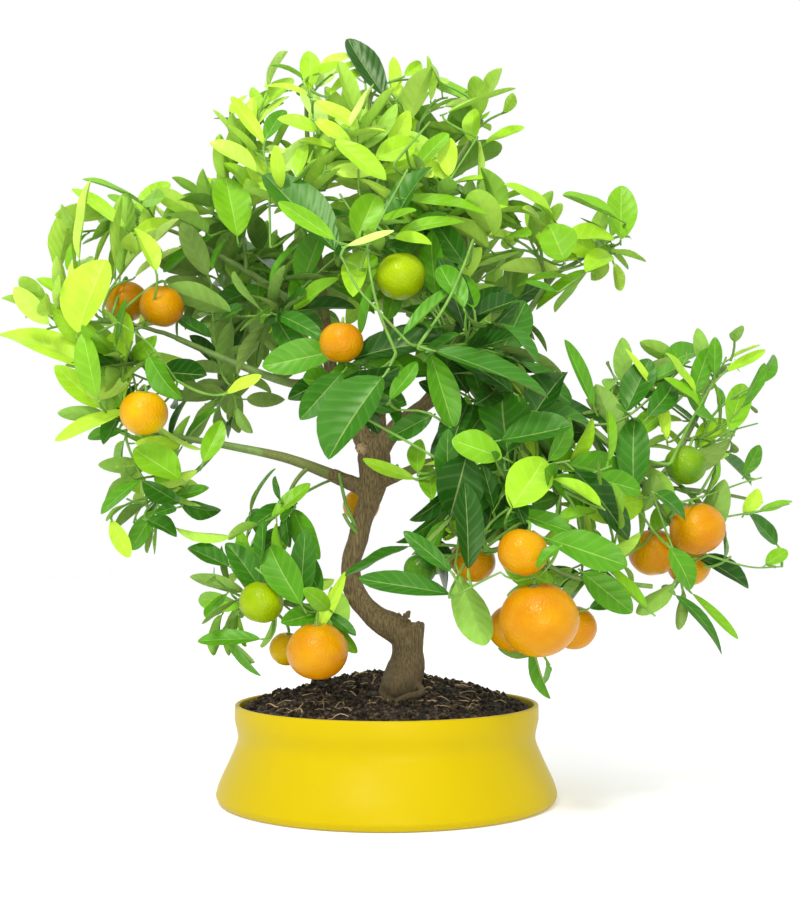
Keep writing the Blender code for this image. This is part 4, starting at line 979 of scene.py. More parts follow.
def build_soil(sizes):
    """The mound of potting mix with its crumbs, and the dry roots that lie on it."""
    chance = random.Random(SOIL_SEED)
    mix, fibre = potting_mix(tuple(sizes.colour)), dry_fibre(tuple(sizes.fibre_colour))
    edge = SOIL_RADII[-1]
    build_mound(mix, edge, sizes.mound)

    crumbs = Joined()
    for _ in range(sizes.crumbs):
        x, y = spot(chance, edge - CRUMB_MARGIN)
        size = chance.uniform(*CRUMB_SIZE)
        centre = soil_point(x, y, sizes.mound, size * CRUMB_LIFT)
        radii = [size * chance.uniform(*CRUMB_STRETCH) for _ in range(3)]
        crumbs.add(*lump(centre, radii, CRUMB_UNEVEN, chance, 1))
    settle(crumbs.build("soil_crumbs", [mix]))

    roots = Joined()
    for _ in range(sizes.fibres):
        x, y = spot(chance, edge - ROOT_MARGIN)
        heading, bend = chance.uniform(0.0, math.tau), chance.uniform(-ROOT_BEND, ROOT_BEND)
        route = []
        for step in range(ROOT_POINTS):
            lift = ROOT_LIFT + ROOT_WAVE * math.sin(step * ROOT_WAVE_TURN)
            route.append(soil_point(x, y, sizes.mound, lift))
            x, y = x + ROOT_STEP * math.cos(heading), y + ROOT_STEP * math.sin(heading)
            heading += bend * ROOT_STEP + chance.uniform(-ROOT_WANDER, ROOT_WANDER)
        thick = chance.uniform(*ROOT_THICK)
        if math.hypot(x, y) < edge - ROOT_END_MARGIN:
            roots.add(*sweep(route, tapered(len(route), thick, thick * ROOT_TAPER), ROOT_SIDES))
    settle(roots.build("root_fibres", [fibre]))


def spot(chance, radius):
    """A place on the soil, evenly spread over a disc."""
    turn, out = chance.uniform(0.0, math.tau), radius * math.sqrt(chance.random())
    return out * math.cos(turn), out * math.sin(turn)


def furrows(place, wood, share=1.0):
    """How far bark stands out at a place: lengthwise ridges, broken up, over a slow swelling."""
    spacing, depth = wood.furrow_spacing, wood.furrow_depth * share
    fine = noise.noise(Vector((place.x / spacing, place.y / spacing, place.z / spacing * FURROW_STRETCH)))
    slow = Vector((place.x / spacing * SWELL_SCALE, place.y / spacing * SWELL_SCALE,
                   place.z / spacing * SWELL_STRETCH))
    broad = noise.noise(slow + UP * 7)
    return depth * (1.0 - RIDGE_SHARPNESS * abs(fine)) + depth * SWELL_SHARE * broad


def bark_tones(wood):
    return tuple(wood.furrow_colour), tuple(wood.bark_colour), tuple(wood.ridge_colour)


def trunk_line():
    return smooth_route([place for place, radius in TRUNK_LINE], TRUNK_STEP)


def trunk_body():
    """The trunk with its stub, root, knot, swellings and the roots of its boughs, under one even skin."""
    base = Joined()
    line = trunk_line()
    stations = np.linspace(0.0, 1.0, len(TRUNK_LINE))
    radii = np.interp(np.linspace(0.0, 1.0, len(line)), stations, [radius for place, radius in TRUNK_LINE])
    base.add(*sweep(line, radii, TRUNK_SIDES))
    for places, radii, sides in ((TRUNK_STUB, STUB_RADII, STUB_SIDES),
                                 (SURFACE_ROOT, SURFACE_ROOT_RADII, SURFACE_ROOT_SIDES)):
        route = smooth_route(places, TRUNK_STEP)
        base.add(*sweep(route, tapered(len(route), *radii), sides))
    chance = random.Random(TRUNK_SEED)
    for centre, radius in (TRUNK_KNOT, ROOT_SWELLING, STUB_NUB):
        base.add(*lump(Vector(centre), [radius] * 3, LUMP_UNEVEN, chance))
    for limb in LIMBS:
        if limb.parent == "trunk":
            route = smooth_route(limb.route, COLLAR_STEP)[:TRUNK_COLLAR_POINTS]
            radii = collared([limb.thick] * len(route), TRUNK_COLLAR_FADE)
            base.add(*sweep(route, radii, TRUNK_COLLAR_SIDES))
    trunk = base.build("trunk_bark", [])
    skin = trunk.modifiers.new("skin", "REMESH")
    skin.mode = "VOXEL"
    skin.voxel_size = BARK_VOXEL
    skin.use_smooth_shade = True
    even = trunk.modifiers.new("even", "SMOOTH")
    even.factor, even.iterations = BARK_EVENING
    apply_modifiers(trunk)
    return trunk


def collared(radii, fade):
    """Radii that swell where the wood leaves its parent, by less from point to point."""
    return [radius * (1.0 + COLLAR * math.exp(-i / fade)) for i, radius in enumerate(radii)]


def build_trunk(wood):
    """The trunk's skin, raised into furrowed bark, with the knot's cut bare and the stub's top ragged."""
    trunk = trunk_body()
    mesh = trunk.data
    line = trunk_line()
    heights = [point.z for point in line]
    levels = [v.co.z for v in mesh.vertices]
    middle = [np.interp(levels, heights, [point[k] for point in line]) for k in (0, 1)]
    knot, stub_top = Vector(TRUNK_KNOT[0]), Vector(TRUNK_STUB[1])
    moved = []
    for vert, x, y, normal in zip(mesh.vertices, *middle, [v.vector.copy() for v in mesh.vertex_normals]):
        out = furrows(vert.co - Vector((x, y, 0.0)), wood)
        if (vert.co - knot).length < CUT_RADIUS:
            out = -CUT_DEPTH
        if vert.co.z > stub_top.z - STUB_BELOW and (vert.co - stub_top).length < STUB_REACH:
            out += STUB_RAGGED * noise.noise(vert.co * STUB_SPLINTERS)
        moved.append(vert.co + normal * out)
    mesh.vertices.foreach_set("co", np.array(moved, np.float32).ravel())
    mesh.materials.clear()
    mesh.materials.append(citrus_bark("citrus_bark", bark_tones(wood), wood.furrow_spacing))
    mesh.materials.append(cut_wood(tuple(wood.cut_colour)))
    for face in mesh.polygons:
        face.material_index = int((face.center - knot).length < CUT_RADIUS and face.normal.y < CUT_FACING)
    mesh.update()
    settle(trunk, ("trunk",))
    return trunk


def build_boughs(wood):
    """Every bough as a rod that swells where it leaves its parent, its bark greener as it thins."""
    rods = Joined()
    green = tuple(wood.green_colour)
    browning = tuple(mixed(tuple(wood.bark_colour), green, share) for share in YOUNG_BARK_GREEN)
    finishes = [citrus_bark("citrus_bark_bough", bark_tones(wood), wood.furrow_spacing),
                citrus_bark("young_citrus_bark", browning, wood.furrow_spacing),
                green_bark("green_citrus_bough", green, mixed(green, BLACK, 0.35))]
    for number, limb in enumerate(LIMBS):
        route = smooth_route(limb.route, BOUGH_STEP)
        radii = collared(tapered(len(route), limb.thick, limb.thin), COLLAR_FADE)

        def relief(turn, travelled, radius):
            place = Vector((math.cos(turn) * radius, math.sin(turn) * radius, travelled)) + UP * number
            return furrows(place, wood, radius / FULL_DEPTH_RADIUS)

        points, faces = sweep(route, radii, BOUGH_SIDES, relief)
        thick = [radii[min(face[0] // BOUGH_SIDES, len(radii) - 1)] for face in faces]
        rods.add(points, faces, [0 if t > OLD_BARK else 1 if t > YOUNG_BARK else 2 for t in thick])
    boughs = rods.build("bough_bark", finishes)
    settle(boughs, [limb.name for limb in LIMBS])
    return boughs


class Room:
    """What already stands in the crown, so that each new leaf can be kept clear of it."""

    def __init__(self):
        self.solids = []
        self.trees = []
        self.balls = np.zeros((MOST_LEAVES, 4))

    def add_solid(self, piece):
        mesh = piece.data
        mesh.calc_loop_triangles()
        points = [v.co.copy() for v in mesh.vertices]
        self.solids.append(BVHTree.FromPolygons(points, [tuple(t.vertices) for t in mesh.loop_triangles]))

    def is_free(self, tree, centre, radius):
        if any(solid.overlap(tree) for solid in self.solids):
            return False
        balls = self.balls[:len(self.trees)]
        gaps = np.sum((balls[:, :3] - centre) ** 2, axis=1)
        if np.any(gaps < LEAF_APART ** 2):
            return False
        near = np.flatnonzero(gaps < (balls[:, 3] + radius) ** 2)
        return not any(self.trees[i].overlap(tree) for i in near)

    def add(self, tree, centre, radius):
        self.balls[len(self.trees)] = (*centre, radius)
        self.trees.append(tree)


class LeafForm:
    """The grid of a leaf: two sides that share their rim, with a rib down the middle."""

    def __init__(self):
        steps = [(1 - math.cos(math.pi * i / LEAF_STEPS)) / 2 for i in range(1, LEAF_STEPS)]
        places, faces, slots = [(0.0, 0.0, 0.0), (1.0, 0.0, 0.0)], [], []
        upper = []
        for share in steps:
            upper.append(range(len(places), len(places) + len(LEAF_ACROSS)))
            places += [(share, across, 1.0) for across in LEAF_ACROSS]
        lower = []
        for share, row in zip(steps, upper):
            inner = range(len(places), len(places) + len(LEAF_ACROSS) - 2)
            lower.append([row[0], *inner, row[-1]])
            places += [(share, across, -1.0) for across in LEAF_ACROSS[1:-1]]
        last = len(LEAF_ACROSS) - 1
        rib = last // 2
        for rows, blade, flip in ((upper, 0, False), (lower, 1, True)):
            for j in range(last):
                strip = [(0, rows[0][j + 1], rows[0][j]), (rows[-1][j], rows[-1][j + 1], 1)]
                for a, b in zip(rows, rows[1:]):
                    strip += [(a[j], a[j + 1], b[j + 1]), (a[j], b[j + 1], b[j])]
                faces += [face if flip else face[::-1] for face in strip]
                slots += [2 if j == rib else blade] * len(strip)
        self.faces, self.slots = faces, slots
        self.share, self.across, self.side = np.array(places).T
        self.core = [0, 1] + [upper[row][j] for row in CORE_ROWS for j in (0, rib, last)]
        self.places = np.column_stack((self.share - np.abs(self.across) * VEIN_SLANT, self.across))

    def points(self, width, thickness, shape):
        """The leaf's points at unit length, base at the origin, tip along +X and face along +Z."""
        fold, droop, twist, wave, phase = shape
        share, across = self.share, self.across
        half = width / 2 * share ** LEAF_BASE_CURVE * (1.0 - share) ** LEAF_TIP_CURVE / LEAF_FULLEST
        y = across * half
        z = fold * np.abs(y) - droop * share ** 2
        z += wave * np.sin(LEAF_WAVES * math.pi * share + phase) * np.abs(across) ** 2 * half
        z -= LEAF_GROOVE * (np.abs(across) < GROOVE_HALF) * half / width * 2
        z += self.side * thickness / 2 * (1.0 - across ** 2)
        turn = twist * share
        cos, sin = np.cos(turn), np.sin(turn)
        return np.column_stack((share, y * cos - z * sin, y * sin + z * cos))


def stance(way, facing):
    """The turn that lays a leaf along a way with its face to the facing."""
    side = facing.cross(way).normalized()
    face = way.cross(side).normalized()
    return np.array((way, side, face))


def face_stray(chance):
    return Vector([chance.uniform(-FACE_STRAY, FACE_STRAY) for _ in range(3)])


def clear_of_fruit(route):
    """The route, pushed out of the way of every fruit that it would run through."""
    for fruit in FRUITS:
        centre, room = Vector(fruit.centre), fruit.diameter / 2 + FRUIT_GAP
        route = [point if (point - centre).length > room else centre + (point - centre).normalized() * room
                 for point in route]
    return route


def open_spots():
    """Rows of x, y, z and radius for what the crown's face shows: fruit, broad leaves and the trunk."""
    spots = [(*fruit.centre, fruit.diameter * OPEN_FRUIT_SHARE)
             for fruit in FRUITS if fruit.centre[1] < OPEN_FRUIT_Y]
    spots += [(*place, radius) for place, radius in TRUNK_LINE]
    for blade in BLADES:
        base, tip, radius = Vector(blade.base), Vector(blade.tip), blade.width * OPEN_BLADE_SHARE
        spots += [(*base.lerp(tip, share), radius) for share in OPEN_PLACES]
    return np.array(spots)


class Crown:
    """Grows the foliage: fruit first, then stems and shoots, then leaves where room is left."""

    def __init__(self):
        self.room = Room()
        self.routes = {limb.name: smooth_route(limb.route, LIMB_STEP) for limb in LIMBS}
        self.routes["trunk"] = [Vector(place) for place, radius in TRUNK_LINE]
        self.thick = {limb.name: (limb.thick, limb.thin) for limb in LIMBS}
        self.seeds = {mass.name: number for number, mass in enumerate(MASSES, 1)}
        self.hearts = np.array([mass.heart for mass in MASSES])
        self.reaches = np.array([mass.reach for mass in MASSES])
        self.stems = {mass.name: self.stem(mass) for mass in MASSES}
        self.leaves = [Joined() for _ in LEAF_COLOURS]
        self.spots = open_spots()
        self.sprays = [clear_of_fruit(smooth_route(spray.route, SHOOT_STEP)) for spray in SPRAYS]
        self.twig_points = [point for route in [*self.stems.values(), *self.sprays] for point in route]
        self.stalks = []

    def stem(self, mass):
        """From just clear of the limb's side or tip to the mass's heart."""
        route = self.routes[mass.limb]
        base, direction = along(route, mass.at)
        thick, thin = self.thick[mass.limb]
        radius = thick + (thin - thick) * mass.at
        heart = Vector(mass.heart)
        away = (heart - base).normalized()
        start = base
        if mass.at < 1.0:
            away = (away - direction * away.dot(direction)).normalized()
            away = (away + STEM_FORWARD * direction).normalized()
            start = base + away * radius * STEM_INSET
        else:
            away = direction
        control = start + away * (heart - start).length / 2
        return clear_of_fruit(bent_route(start, control, heart, STEM_POINTS))

    def shoots(self, mass):
        """The shoots of a mass, spread by the turn of a spiral, and the finer twigs on each."""
        seed = self.seeds[mass.name]
        stem = self.stems[mass.name]
        flow = (stem[-1] - stem[-3]).normalized() + UP * SHOOT_RISE
        for number in range(mass.shoots):
            chance = random.Random(seed * SEEDS_PER_MASS + number)
            height = 1.0 - 2.0 * (number + chance.uniform(*SHOOT_BAND)) / mass.shoots
            turn = SPIRAL * number + seed + chance.uniform(-SHOOT_STRAY, SHOOT_STRAY)
            flat = math.sqrt(1.0 - height ** 2)
            outward = Vector((flat * math.cos(turn), flat * math.sin(turn), height))
            start, direction = along(stem, chance.uniform(*SHOOT_PLACES))
            way = (outward * (1.0 - SHOOT_FLOW) + flow * SHOOT_FLOW).normalized()
            route = self.twig(start, direction, way, chance.uniform(*SHOOT_LENGTH))
            if not route:
                continue
            yield route, chance
            for side in range(SIDE_TWIGS):
                start, direction = along(route, chance.uniform(*SIDE_TWIG_PLACES))
                across = direction.orthogonal().normalized()
                across.rotate(Matrix.Rotation(chance.uniform(0.0, math.tau), 3, direction))
                way = (direction + across * SIDE_TWIG_SPREAD).normalized()
                twig = self.twig(start, direction, way, chance.uniform(*SIDE_TWIG_LENGTH))
                if twig:
                    yield twig, chance

    def twig(self, start, direction, way, length):
        """A twig that curves from one direction to another, cut short where the crown's reach ends."""
        while length > SHOOT_SHORTEST:
            end = start + way * length
            if self.holds(end, SHOOT_ROOM):
                pieces = max(3, round(length / SHOOT_STEP))
                control = start + direction * length * SHOOT_BOW
                return clear_of_fruit(bent_route(start, control, end, pieces))
            length *= SHOOT_SHORTENED
        return None

    def holds(self, place, spread):
        """Whether a place is inside the reach of any mass."""
        shares = (np.array(place) - self.hearts) / (self.reaches * spread)
        return bool(np.any(np.sum(shares ** 2, axis=1) < 1.0))

    def leaves_open(self, place, size):
        """Whether a leaf here stands beside or behind every spot that is kept in the open."""
        apart = np.hypot(self.spots[:, 0] - place[0], self.spots[:, 2] - place[2])
        hidden = (place[1] < self.spots[:, 1]) & (apart < self.spots[:, 3] + size * OPEN_SHARE)
        return not hidden.any()

    def fruit(self, settings):
        """Every fruit with its pores, its dimple and its green star of a calyx."""
        ripe = {name: Joined() for name in FRUIT_COLOURS}
        stars = Joined()
        chance = random.Random(FRUIT_SEED)
        for fruit in FRUITS:
            centre, radius = Vector(fruit.centre), fruit.diameter / 2
            body = bmesh.new()
            around, down = FRUIT_GRID
            bmesh.ops.create_uvsphere(body, u_segments=around, v_segments=down, radius=radius)
            shift = noise_shift(chance)
            lean = Matrix.Rotation(chance.uniform(*FRUIT_LEAN), 3, "X")
            lean = lean @ Matrix.Rotation(chance.uniform(*FRUIT_LEAN), 3, "Y")
            points = []
            for vert in body.verts:
                unit = vert.co / radius
                dimple = DIMPLE_DEPTH * math.exp(-(unit.x ** 2 + unit.y ** 2) / DIMPLE_SPREAD)
                dimple *= 1.0 if unit.z > 0 else LOW_DIMPLE
                uneven = 1.0 + FRUIT_UNEVEN * noise.noise(unit * FRUIT_SWELLS + shift)
                place = Vector((unit.x, unit.y, unit.z * (FRUIT_FLATTENED - dimple))) * radius * uneven
                points.append(centre + lean @ place)
            ripe[fruit.ripeness].add(points, [[v.index for v in face.verts] for face in body.faces])
            body.free()
            top = centre + lean @ Vector((0.0, 0.0, radius * (FRUIT_FLATTENED - CALYX_DEPTH)))
            self.calyx(stars, top, lean, radius * CALYX_SIZE)
            self.stalks.append((fruit.mass, top + lean @ UP * STALK_GAP, lean @ -UP))
        for name, joined in ripe.items():
            colour, deep = (linear(code) for code in FRUIT_COLOURS[name])
            rind = citrus_rind(name + "_citrus_rind", colour, deep, settings.pore)
            piece = joined.build("fruit_" + name, [rind])
            settle(piece)
            self.room.add_solid(piece)
        dried = green_bark("dried_calyx", linear("#7E8F3A"), linear("#56612A"))
        settle(stars.build("fruit_calyxes", [dried]))

    def calyx(self, joined, top, lean, size):
        """A five-pointed star under the stalk, a little raised at its centre."""
        count = CALYX_POINTS
        ring = []
        for i in range(count):
            out = size * (1.0 if i % 2 == 0 else CALYX_NOTCH)
            turn = math.tau * i / count
            place = Vector((math.cos(turn) * out, math.sin(turn) * out, size * CALYX_RISE))
            ring.append(top + lean @ place)
        low = [point - lean @ UP * size * CALYX_THICK for point in ring]
        points = ring + low + [top + lean @ UP * size * CALYX_PEAK, top - lean @ UP * size * CALYX_FLOOR]
        after = [(i, (i + 1) % count) for i in range(count)]
        faces = [(i, j, 2 * count) for i, j in after]
        faces += [(count + j, count + i, 2 * count + 1) for i, j in after]
        faces += [(i, count + i, count + j, j) for i, j in after]
        joined.add(points, faces)

    def twigs(self, settings):
        """The stems, the stalks of the fruit, the twigs placed one by one and the trunk's cut twigs."""
        green, brown = Joined(), Joined()
        for mass in MASSES:
            stem = self.stems[mass.name]
            radii = tapered(len(stem), settings.stem_radius, settings.shoot_radius)
            brown.add(*sweep(stem, radii, STEM_SIDES))
        for name, end, arrival in self.stalks:
            start = along(self.stems[name], STALK_PLACE)[0]
            control = end - arrival * STALK_BOW * (end - start).length
            route = bent_route(start, control, end, STALK_POINTS)
            radii = tapered(len(route), settings.shoot_radius, settings.shoot_radius * STALK_TIP)
            green.add(*sweep(route, radii, TWIG_SIDES))
        stem_points = [point for stem in self.stems.values() for point in stem]
        for spray, route in zip(SPRAYS, self.sprays):
            start = min(stem_points, key=lambda point: (point - route[0]).length)
            bow = (route[1] - route[0]).normalized() * ((route[0] - start).length * SPRAY_BOW)
            whole = bent_route(start, route[0] - bow, route[0], SPRAY_JOIN_POINTS)[:-1] + route
            radii = tapered(len(whole), spray.thick, spray.thick * SPRAY_TIP)
            green.add(*sweep(whole, radii, SPRAY_SIDES))
        for spur in SPURS:
            route = smooth_route(spur, COLLAR_STEP)
            radii = tapered(len(route), SPUR_RADIUS, SPUR_RADIUS * SPUR_TAPER)
            green.add(*sweep(route, radii, SPUR_SIDES))
        self.green = green
        colour = tuple(settings.colour)
        bark = green_bark("ripening_citrus_twig", mixed(colour, linear("#6B5E3C"), 0.4),
                          mixed(colour, linear("#4A4029"), 0.6))
        settle(brown.build("mass_stems", [bark]), [mass.name for mass in MASSES])

    def place_leaf(self, start, way, facing, size, width, youth_and_light, chance, forced=False):
        """Adds a leaf on its stalk and returns True. Returns False where it would leave the crown's reach,
        stand before an open spot or run into something, unless it is forced."""
        petiole = chance.uniform(*PETIOLE) * size / PETIOLE_LEAF
        base = start + way * petiole
        turn = stance(way, facing) * size
        shape = [chance.uniform(*bounds) for bounds in LEAF_SHAPE]
        points = self.form.points(width, LEAF_THICK / size, shape) @ turn + np.array(base)
        centre = (points[0] + points[1]) / 2
        if not forced and not (self.holds(points[1], LEAF_SPREAD) and self.holds(centre, LEAF_SPREAD)
                               and self.leaves_open(centre, size)):
            return False
        core = [Vector(centre + (points[i] - centre) * LEAF_CORE) for i in self.form.core]
        tree = BVHTree.FromPolygons(core, CORE_FACES)
        if not forced and not self.room.is_free(tree, centre, size * LEAF_BALL):
            return False
        self.room.add(tree, centre, size * LEAF_BALL)
        # The tint follows youth, which also carries painted shade for shaded masses and a painted sheen on
        # some broad leaves
        stray = 0.0 if forced else chance.uniform(OLD_STRAY - OLD_STRAY_GAIN * youth_and_light, YOUNG_STRAY)
        tint = round(min(max(youth_and_light * 2.0 + stray, 0.0), len(LEAF_COLOURS) - 1.0))
        places = self.form.places * (VEINS * size, 1.0)
        self.leaves[tint].add(points.tolist(), self.form.faces, self.form.slots, places)
        control = start + way * petiole * PETIOLE_BEND - UP * PETIOLE_SAG
        sag = bent_route(start, control, base, PETIOLE_POINTS)
        self.green.add(*sweep(sag, tapered(len(sag), *PETIOLE_RADII), PETIOLE_SIDES))
        return True

    def leaf_twig(self, mass, route, chance, settings):
        """Leaves in a spiral down a twig from its tip, each facing up and towards the tip.
        Returns the share of the twig at which the furthest one stands."""
        furthest = 0.0
        length = sum((b - a).length for a, b in zip(route, route[1:]))
        leaves = max(2, round(length / mass.gap))
        turn = chance.uniform(0.0, math.tau)
        for step in range(leaves):
            place = 1.0 - step / leaves * LEAVES_DOWN
            base, direction = along(route, place)
            across = direction.orthogonal().normalized()
            open_side = (base - CROWN_CENTRE).normalized()
            for attempt in range(LEAF_TRIES):
                turn += SPIRAL
                size = mass.leaf * chance.uniform(SMALLEST_LEAF, LARGEST_LEAF)
                size *= 1.0 - LEAF_SHRINK * attempt / LEAF_TRIES
                sideways = Matrix.Rotation(turn, 3, direction) @ across
                way = (direction * LEAF_FORWARD + sideways * (LEAF_ASIDE if step else TIP_LEAF_ASIDE)
                       + UP * LEAF_LIFT * (mass.youth_and_light - 1.0)).normalized()
                facing = direction * FACE_TIP + UP * FACE_UP + open_side * FACE_OPEN_SIDE
                facing += face_stray(chance)
                width = settings.width * chance.uniform(*LEAF_WIDTH_STRAY)
                if self.place_leaf(base, way, facing, size, width, mass.youth_and_light + place - TIP_YOUTH, chance):
                    furthest = max(furthest, place)
                    break
        return furthest

    def foliage(self, settings):
        """The broad leaves of the crown's face, then every shoot as far as it bears leaves."""
        twigs = bpy.context.scene.orange_tree_twigs
        self.form = LeafForm()
        chance = random.Random(BLADE_SEED)
        for blade in BLADES:
            base, tip = Vector(blade.base), Vector(blade.tip)
            way, size = (tip - base).normalized(), (tip - base).length
            start = min(self.twig_points, key=lambda point: (point - base).length)
            control = base - way * STALK_BOW * (base - start).length
            stalk = bent_route(start, control, base, BLADE_STALK_POINTS)
            self.green.add(*sweep(stalk, tapered(len(stalk), *BLADE_STALK), BLADE_STALK_SIDES))
            facing = BLADE_FACE + face_stray(chance)
            self.place_leaf(base - way * BLADE_OVERLAP, way, facing, size, blade.width / size, blade.youth_and_light,
                            chance, True)
        for mass in MASSES:
            for route, chance in self.shoots(mass):
                furthest = self.leaf_twig(mass, route, chance, settings)
                route = route[:math.ceil(furthest * (len(route) - 1)) + 1]
                if len(route) > 2:
                    radii = tapered(len(route), twigs.shoot_radius, twigs.tip_radius)
                    self.green.add(*sweep(route, radii, TWIG_SIDES))
        glosses = tapered(len(LEAF_COLOURS), *LEAF_GLOSS)
        for (name, colour), joined, gloss in zip(LEAF_COLOURS, self.leaves, glosses):
            finishes = leaf_finishes("leaf_" + name, linear(colour), gloss)
            settle(joined.build("leaves_" + name, finishes))
        colour = tuple(twigs.colour)
        bark = green_bark("green_citrus_twig", colour, mixed(colour, BLACK, 0.3))
        settle(self.green.build("green_twigs", [bark]))


def build_stage(settings):
    """A pale floor, soft light from the upper left, and the camera at the photo's viewpoint."""
    mesh = bpy.data.meshes.new("studio_floor")
    body = bmesh.new()
    bmesh.ops.create_circle(body, cap_ends=True, segments=FLOOR_SIDES, radius=FLOOR_RADIUS)
    body.to_mesh(mesh)
    body.free()
    floor = link_piece("studio_floor", mesh)
    floor.location.z = -FLOOR_GAP
    # Matt paper: bright and even, without a gloss that would show where the floor lies
    material, shader = new_material("matt_studio_paper", Roughness=0.9)
    pale = tuple(settings.floor_colour)
    mottled(material, shader, (mixed(pale, BLACK, FLOOR_SHADE), pale), FLOOR_PATCHES)
    mesh.materials.append(material)
    floor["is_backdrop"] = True

    world = bpy.data.worlds.new("studio")
    world.use_nodes = True
    backdrop = world.node_tree.nodes["Background"]
    backdrop.inputs["Color"].default_value = (1.0, 1.0, 1.0, 1.0)
    backdrop.inputs["Strength"].default_value = settings.surround
    bpy.context.scene.world = world
    for name, place, size, power, shadow in STUDIO_LIGHTS:
        light = bpy.data.lights.new(name, "AREA")
        light.shape = "DISK"
        light.size = size
        light.energy = power * settings.brightness
        light.use_shadow = shadow
        lamp = bpy.data.objects.new(name, light)
        lamp.location = place
        lamp.rotation_euler = (CROWN_CENTRE - Vector(place)).to_track_quat("-Z", "Y").to_euler()
        bpy.context.scene.collection.objects.link(lamp)

    lens = bpy.data.cameras.new("viewpoint")
    lens.sensor_width = SENSOR
    lens.lens = SENSOR * FOCAL_PIXELS / FRAME_HEIGHT
    camera = bpy.data.objects.new("viewpoint", lens)
    camera.location = EYE
    camera.rotation_euler = (math.radians(90.0) + EYE_PITCH, 0.0, 0.0)
    bpy.context.scene.collection.objects.link(camera)
    bpy.context.scene.camera = camera
    bpy.context.scene.view_settings.view_transform = "Standard"


def size_setting(name, description, default):
    return FloatProperty(name=name, description=description, default=default, unit="LENGTH")


def colour_setting(name, description, default):
    return FloatVectorProperty(name=name, description=description, default=default, subtype="COLOR")


class PotSettings(bpy.types.PropertyGroup):
    rim_radius: size_setting("Rim radius", "Outer radius of the rim", 0.097)
    wall: size_setting("Wall", "Thickness of the wall", 0.003)
    lip: size_setting("Lip", "Rounding of the rim's edges", 0.0011)
    colour: colour_setting("Colour", "Colour of the plastic", linear("#B6A000"))


class SoilSettings(bpy.types.PropertyGroup):
    mound: size_setting("Mound", "Rise of the soil behind the trunk", 0.0095)
    crumbs: IntProperty(name="Crumbs", description="Loose crumbs on the soil", default=900)
    fibres: IntProperty(name="Fibres", description="Dry roots on the soil", default=90)
    colour: colour_setting("Colour", "Colour of the mix", linear("#1F170A"))
    fibre_colour: colour_setting("Fibre colour", "Colour of the dry roots", linear("#B79B6E"))


class WoodSettings(bpy.types.PropertyGroup):
    furrow_spacing: size_setting("Furrow spacing", "From one furrow of bark to the next", 0.0013)
    furrow_depth: size_setting("Furrow depth", "Depth of the bark's furrows", 0.00022)
    furrow_colour: colour_setting("Furrow colour", "Bark in its furrows", linear("#54452A"))
    bark_colour: colour_setting("Bark colour", "Bark between furrow and ridge", linear("#6C5C3A"))
    ridge_colour: colour_setting("Ridge colour", "Bark on its ridges", linear("#80704A"))
    green_colour: colour_setting("Young bark colour", "Bark of the thin boughs", linear("#6E8C3C"))
    cut_colour: colour_setting("Cut wood colour", "Wood of the pruning cut", linear("#C2A27C"))


class FruitSettings(bpy.types.PropertyGroup):
    pore: size_setting("Pore spacing", "From one oil gland of the rind to the next", 0.0012)


class TwigSettings(bpy.types.PropertyGroup):
    stem_radius: size_setting("Stem radius", "Radius where a stem leaves its bough", 0.0016)
    shoot_radius: size_setting("Shoot radius", "Radius where a shoot leaves its stem", 0.0010)
    tip_radius: size_setting("Tip radius", "Radius at a shoot's tip", 0.0007)
    colour: colour_setting("Colour", "Colour of the green twigs", linear("#6F9E35"))


class LeafSettings(bpy.types.PropertyGroup):
    width: FloatProperty(name="Width", description="Width of a leaf as a share of its length", default=0.4)


class StageSettings(bpy.types.PropertyGroup):
    floor_colour: colour_setting("Floor colour", "Colour of the floor", (0.995, 0.995, 0.995))
    surround: FloatProperty(name="Surround", description="Brightness of the surround", default=1.0)
    brightness: FloatProperty(name="Brightness", description="Brightness of the lamps", default=1.0)


class ORANGETREE_OT_pot(bpy.types.Operator):
    """Turns the pot with its lip, band and flared skirt"""
    bl_idname = "orange_tree.pot"
    bl_label = "Pot"

    def execute(self, context):
        build_pot(context.scene.orange_tree_pot)
        return {"FINISHED"}


class ORANGETREE_OT_soil(bpy.types.Operator):
    """Fills the pot with soil, crumbs and dry roots"""
    bl_idname = "orange_tree.soil"
    bl_label = "Soil"

    def execute(self, context):
        build_soil(context.scene.orange_tree_soil)
        return {"FINISHED"}


class ORANGETREE_OT_wood(bpy.types.Operator):
    """Makes the trunk and the boughs with their bark"""
    bl_idname = "orange_tree.wood"
    bl_label = "Trunk and Boughs"

    def execute(self, context):
        for build in (build_trunk, build_boughs):
            CROWN.room.add_solid(build(context.scene.orange_tree_wood))
        return {"FINISHED"}


class ORANGETREE_OT_fruit(bpy.types.Operator):
    """Hangs the fruit in the crown"""
    bl_idname = "orange_tree.fruit"
    bl_label = "Fruit"

    def execute(self, context):
        CROWN.fruit(context.scene.orange_tree_fruit)
        return {"FINISHED"}


class ORANGETREE_OT_twigs(bpy.types.Operator):
    """Grows the stems, shoots and fruit stalks"""
    bl_idname = "orange_tree.twigs"
    bl_label = "Twigs"

    def execute(self, context):
        CROWN.twigs(context.scene.orange_tree_twigs)
        return {"FINISHED"}


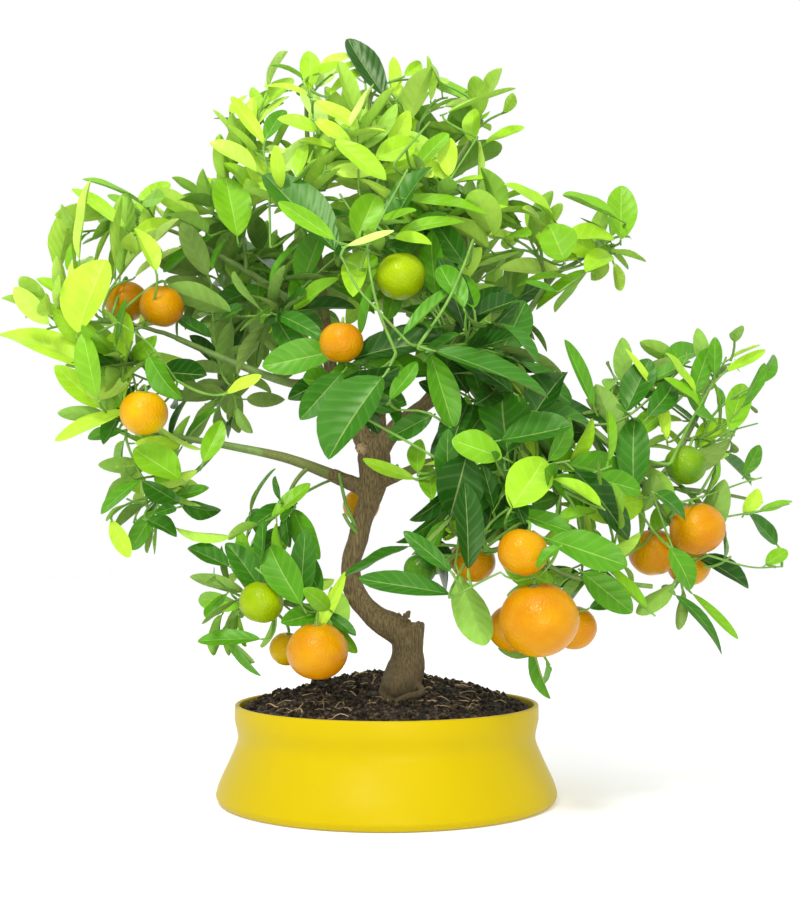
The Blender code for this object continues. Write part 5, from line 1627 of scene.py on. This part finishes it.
class ORANGETREE_OT_leaves(bpy.types.Operator):
    """Covers the twigs with leaves"""
    bl_idname = "orange_tree.leaves"
    bl_label = "Leaves"

    def execute(self, context):
        CROWN.foliage(context.scene.orange_tree_leaves)
        return {"FINISHED"}


class ORANGETREE_OT_stage(bpy.types.Operator):
    """Sets the floor, the light and the camera"""
    bl_idname = "orange_tree.stage"
    bl_label = "Stage"

    def execute(self, context):
        build_stage(context.scene.orange_tree_stage)
        return {"FINISHED"}


STEPS = (ORANGETREE_OT_stage, ORANGETREE_OT_pot, ORANGETREE_OT_soil, ORANGETREE_OT_wood,
         ORANGETREE_OT_fruit, ORANGETREE_OT_twigs, ORANGETREE_OT_leaves)
GROUPS = {
    "orange_tree_pot": PotSettings, "orange_tree_soil": SoilSettings, "orange_tree_wood": WoodSettings,
    "orange_tree_fruit": FruitSettings, "orange_tree_twigs": TwigSettings,
    "orange_tree_leaves": LeafSettings, "orange_tree_stage": StageSettings,
}
CROWN = Crown()


class ORANGETREE_PT_panel(bpy.types.Panel):
    """Lists the steps that build the tree"""
    bl_idname = "ORANGETREE_PT_panel"
    bl_label = "Calamondin Orange Tree"
    bl_space_type = "VIEW_3D"
    bl_region_type = "UI"
    bl_category = "Orange Tree"

    def draw(self, context):
        for step in STEPS:
            self.layout.operator(step.bl_idname)
        for name, group in GROUPS.items():
            settings = getattr(context.scene, name)
            for field in group.__annotations__:
                self.layout.prop(settings, field)


def register():
    for item in (*GROUPS.values(), *STEPS, ORANGETREE_PT_panel):
        bpy.utils.register_class(item)
    for name, group in GROUPS.items():
        setattr(bpy.types.Scene, name, PointerProperty(type=group))


def unregister():
    for name in GROUPS:
        delattr(bpy.types.Scene, name)
    for item in (ORANGETREE_PT_panel, *reversed(STEPS), *GROUPS.values()):
        bpy.utils.unregister_class(item)


def main():
    register()
    for step in STEPS:
        family, name = step.bl_idname.split(".")
        getattr(getattr(bpy.ops, family), name)()
    boxes = {"cad": CAD_BOX, "visual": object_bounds()}
    {name: [list(corner) for corner in box] for name, box in boxes.items()}


if __name__ == "__main__":
    main()
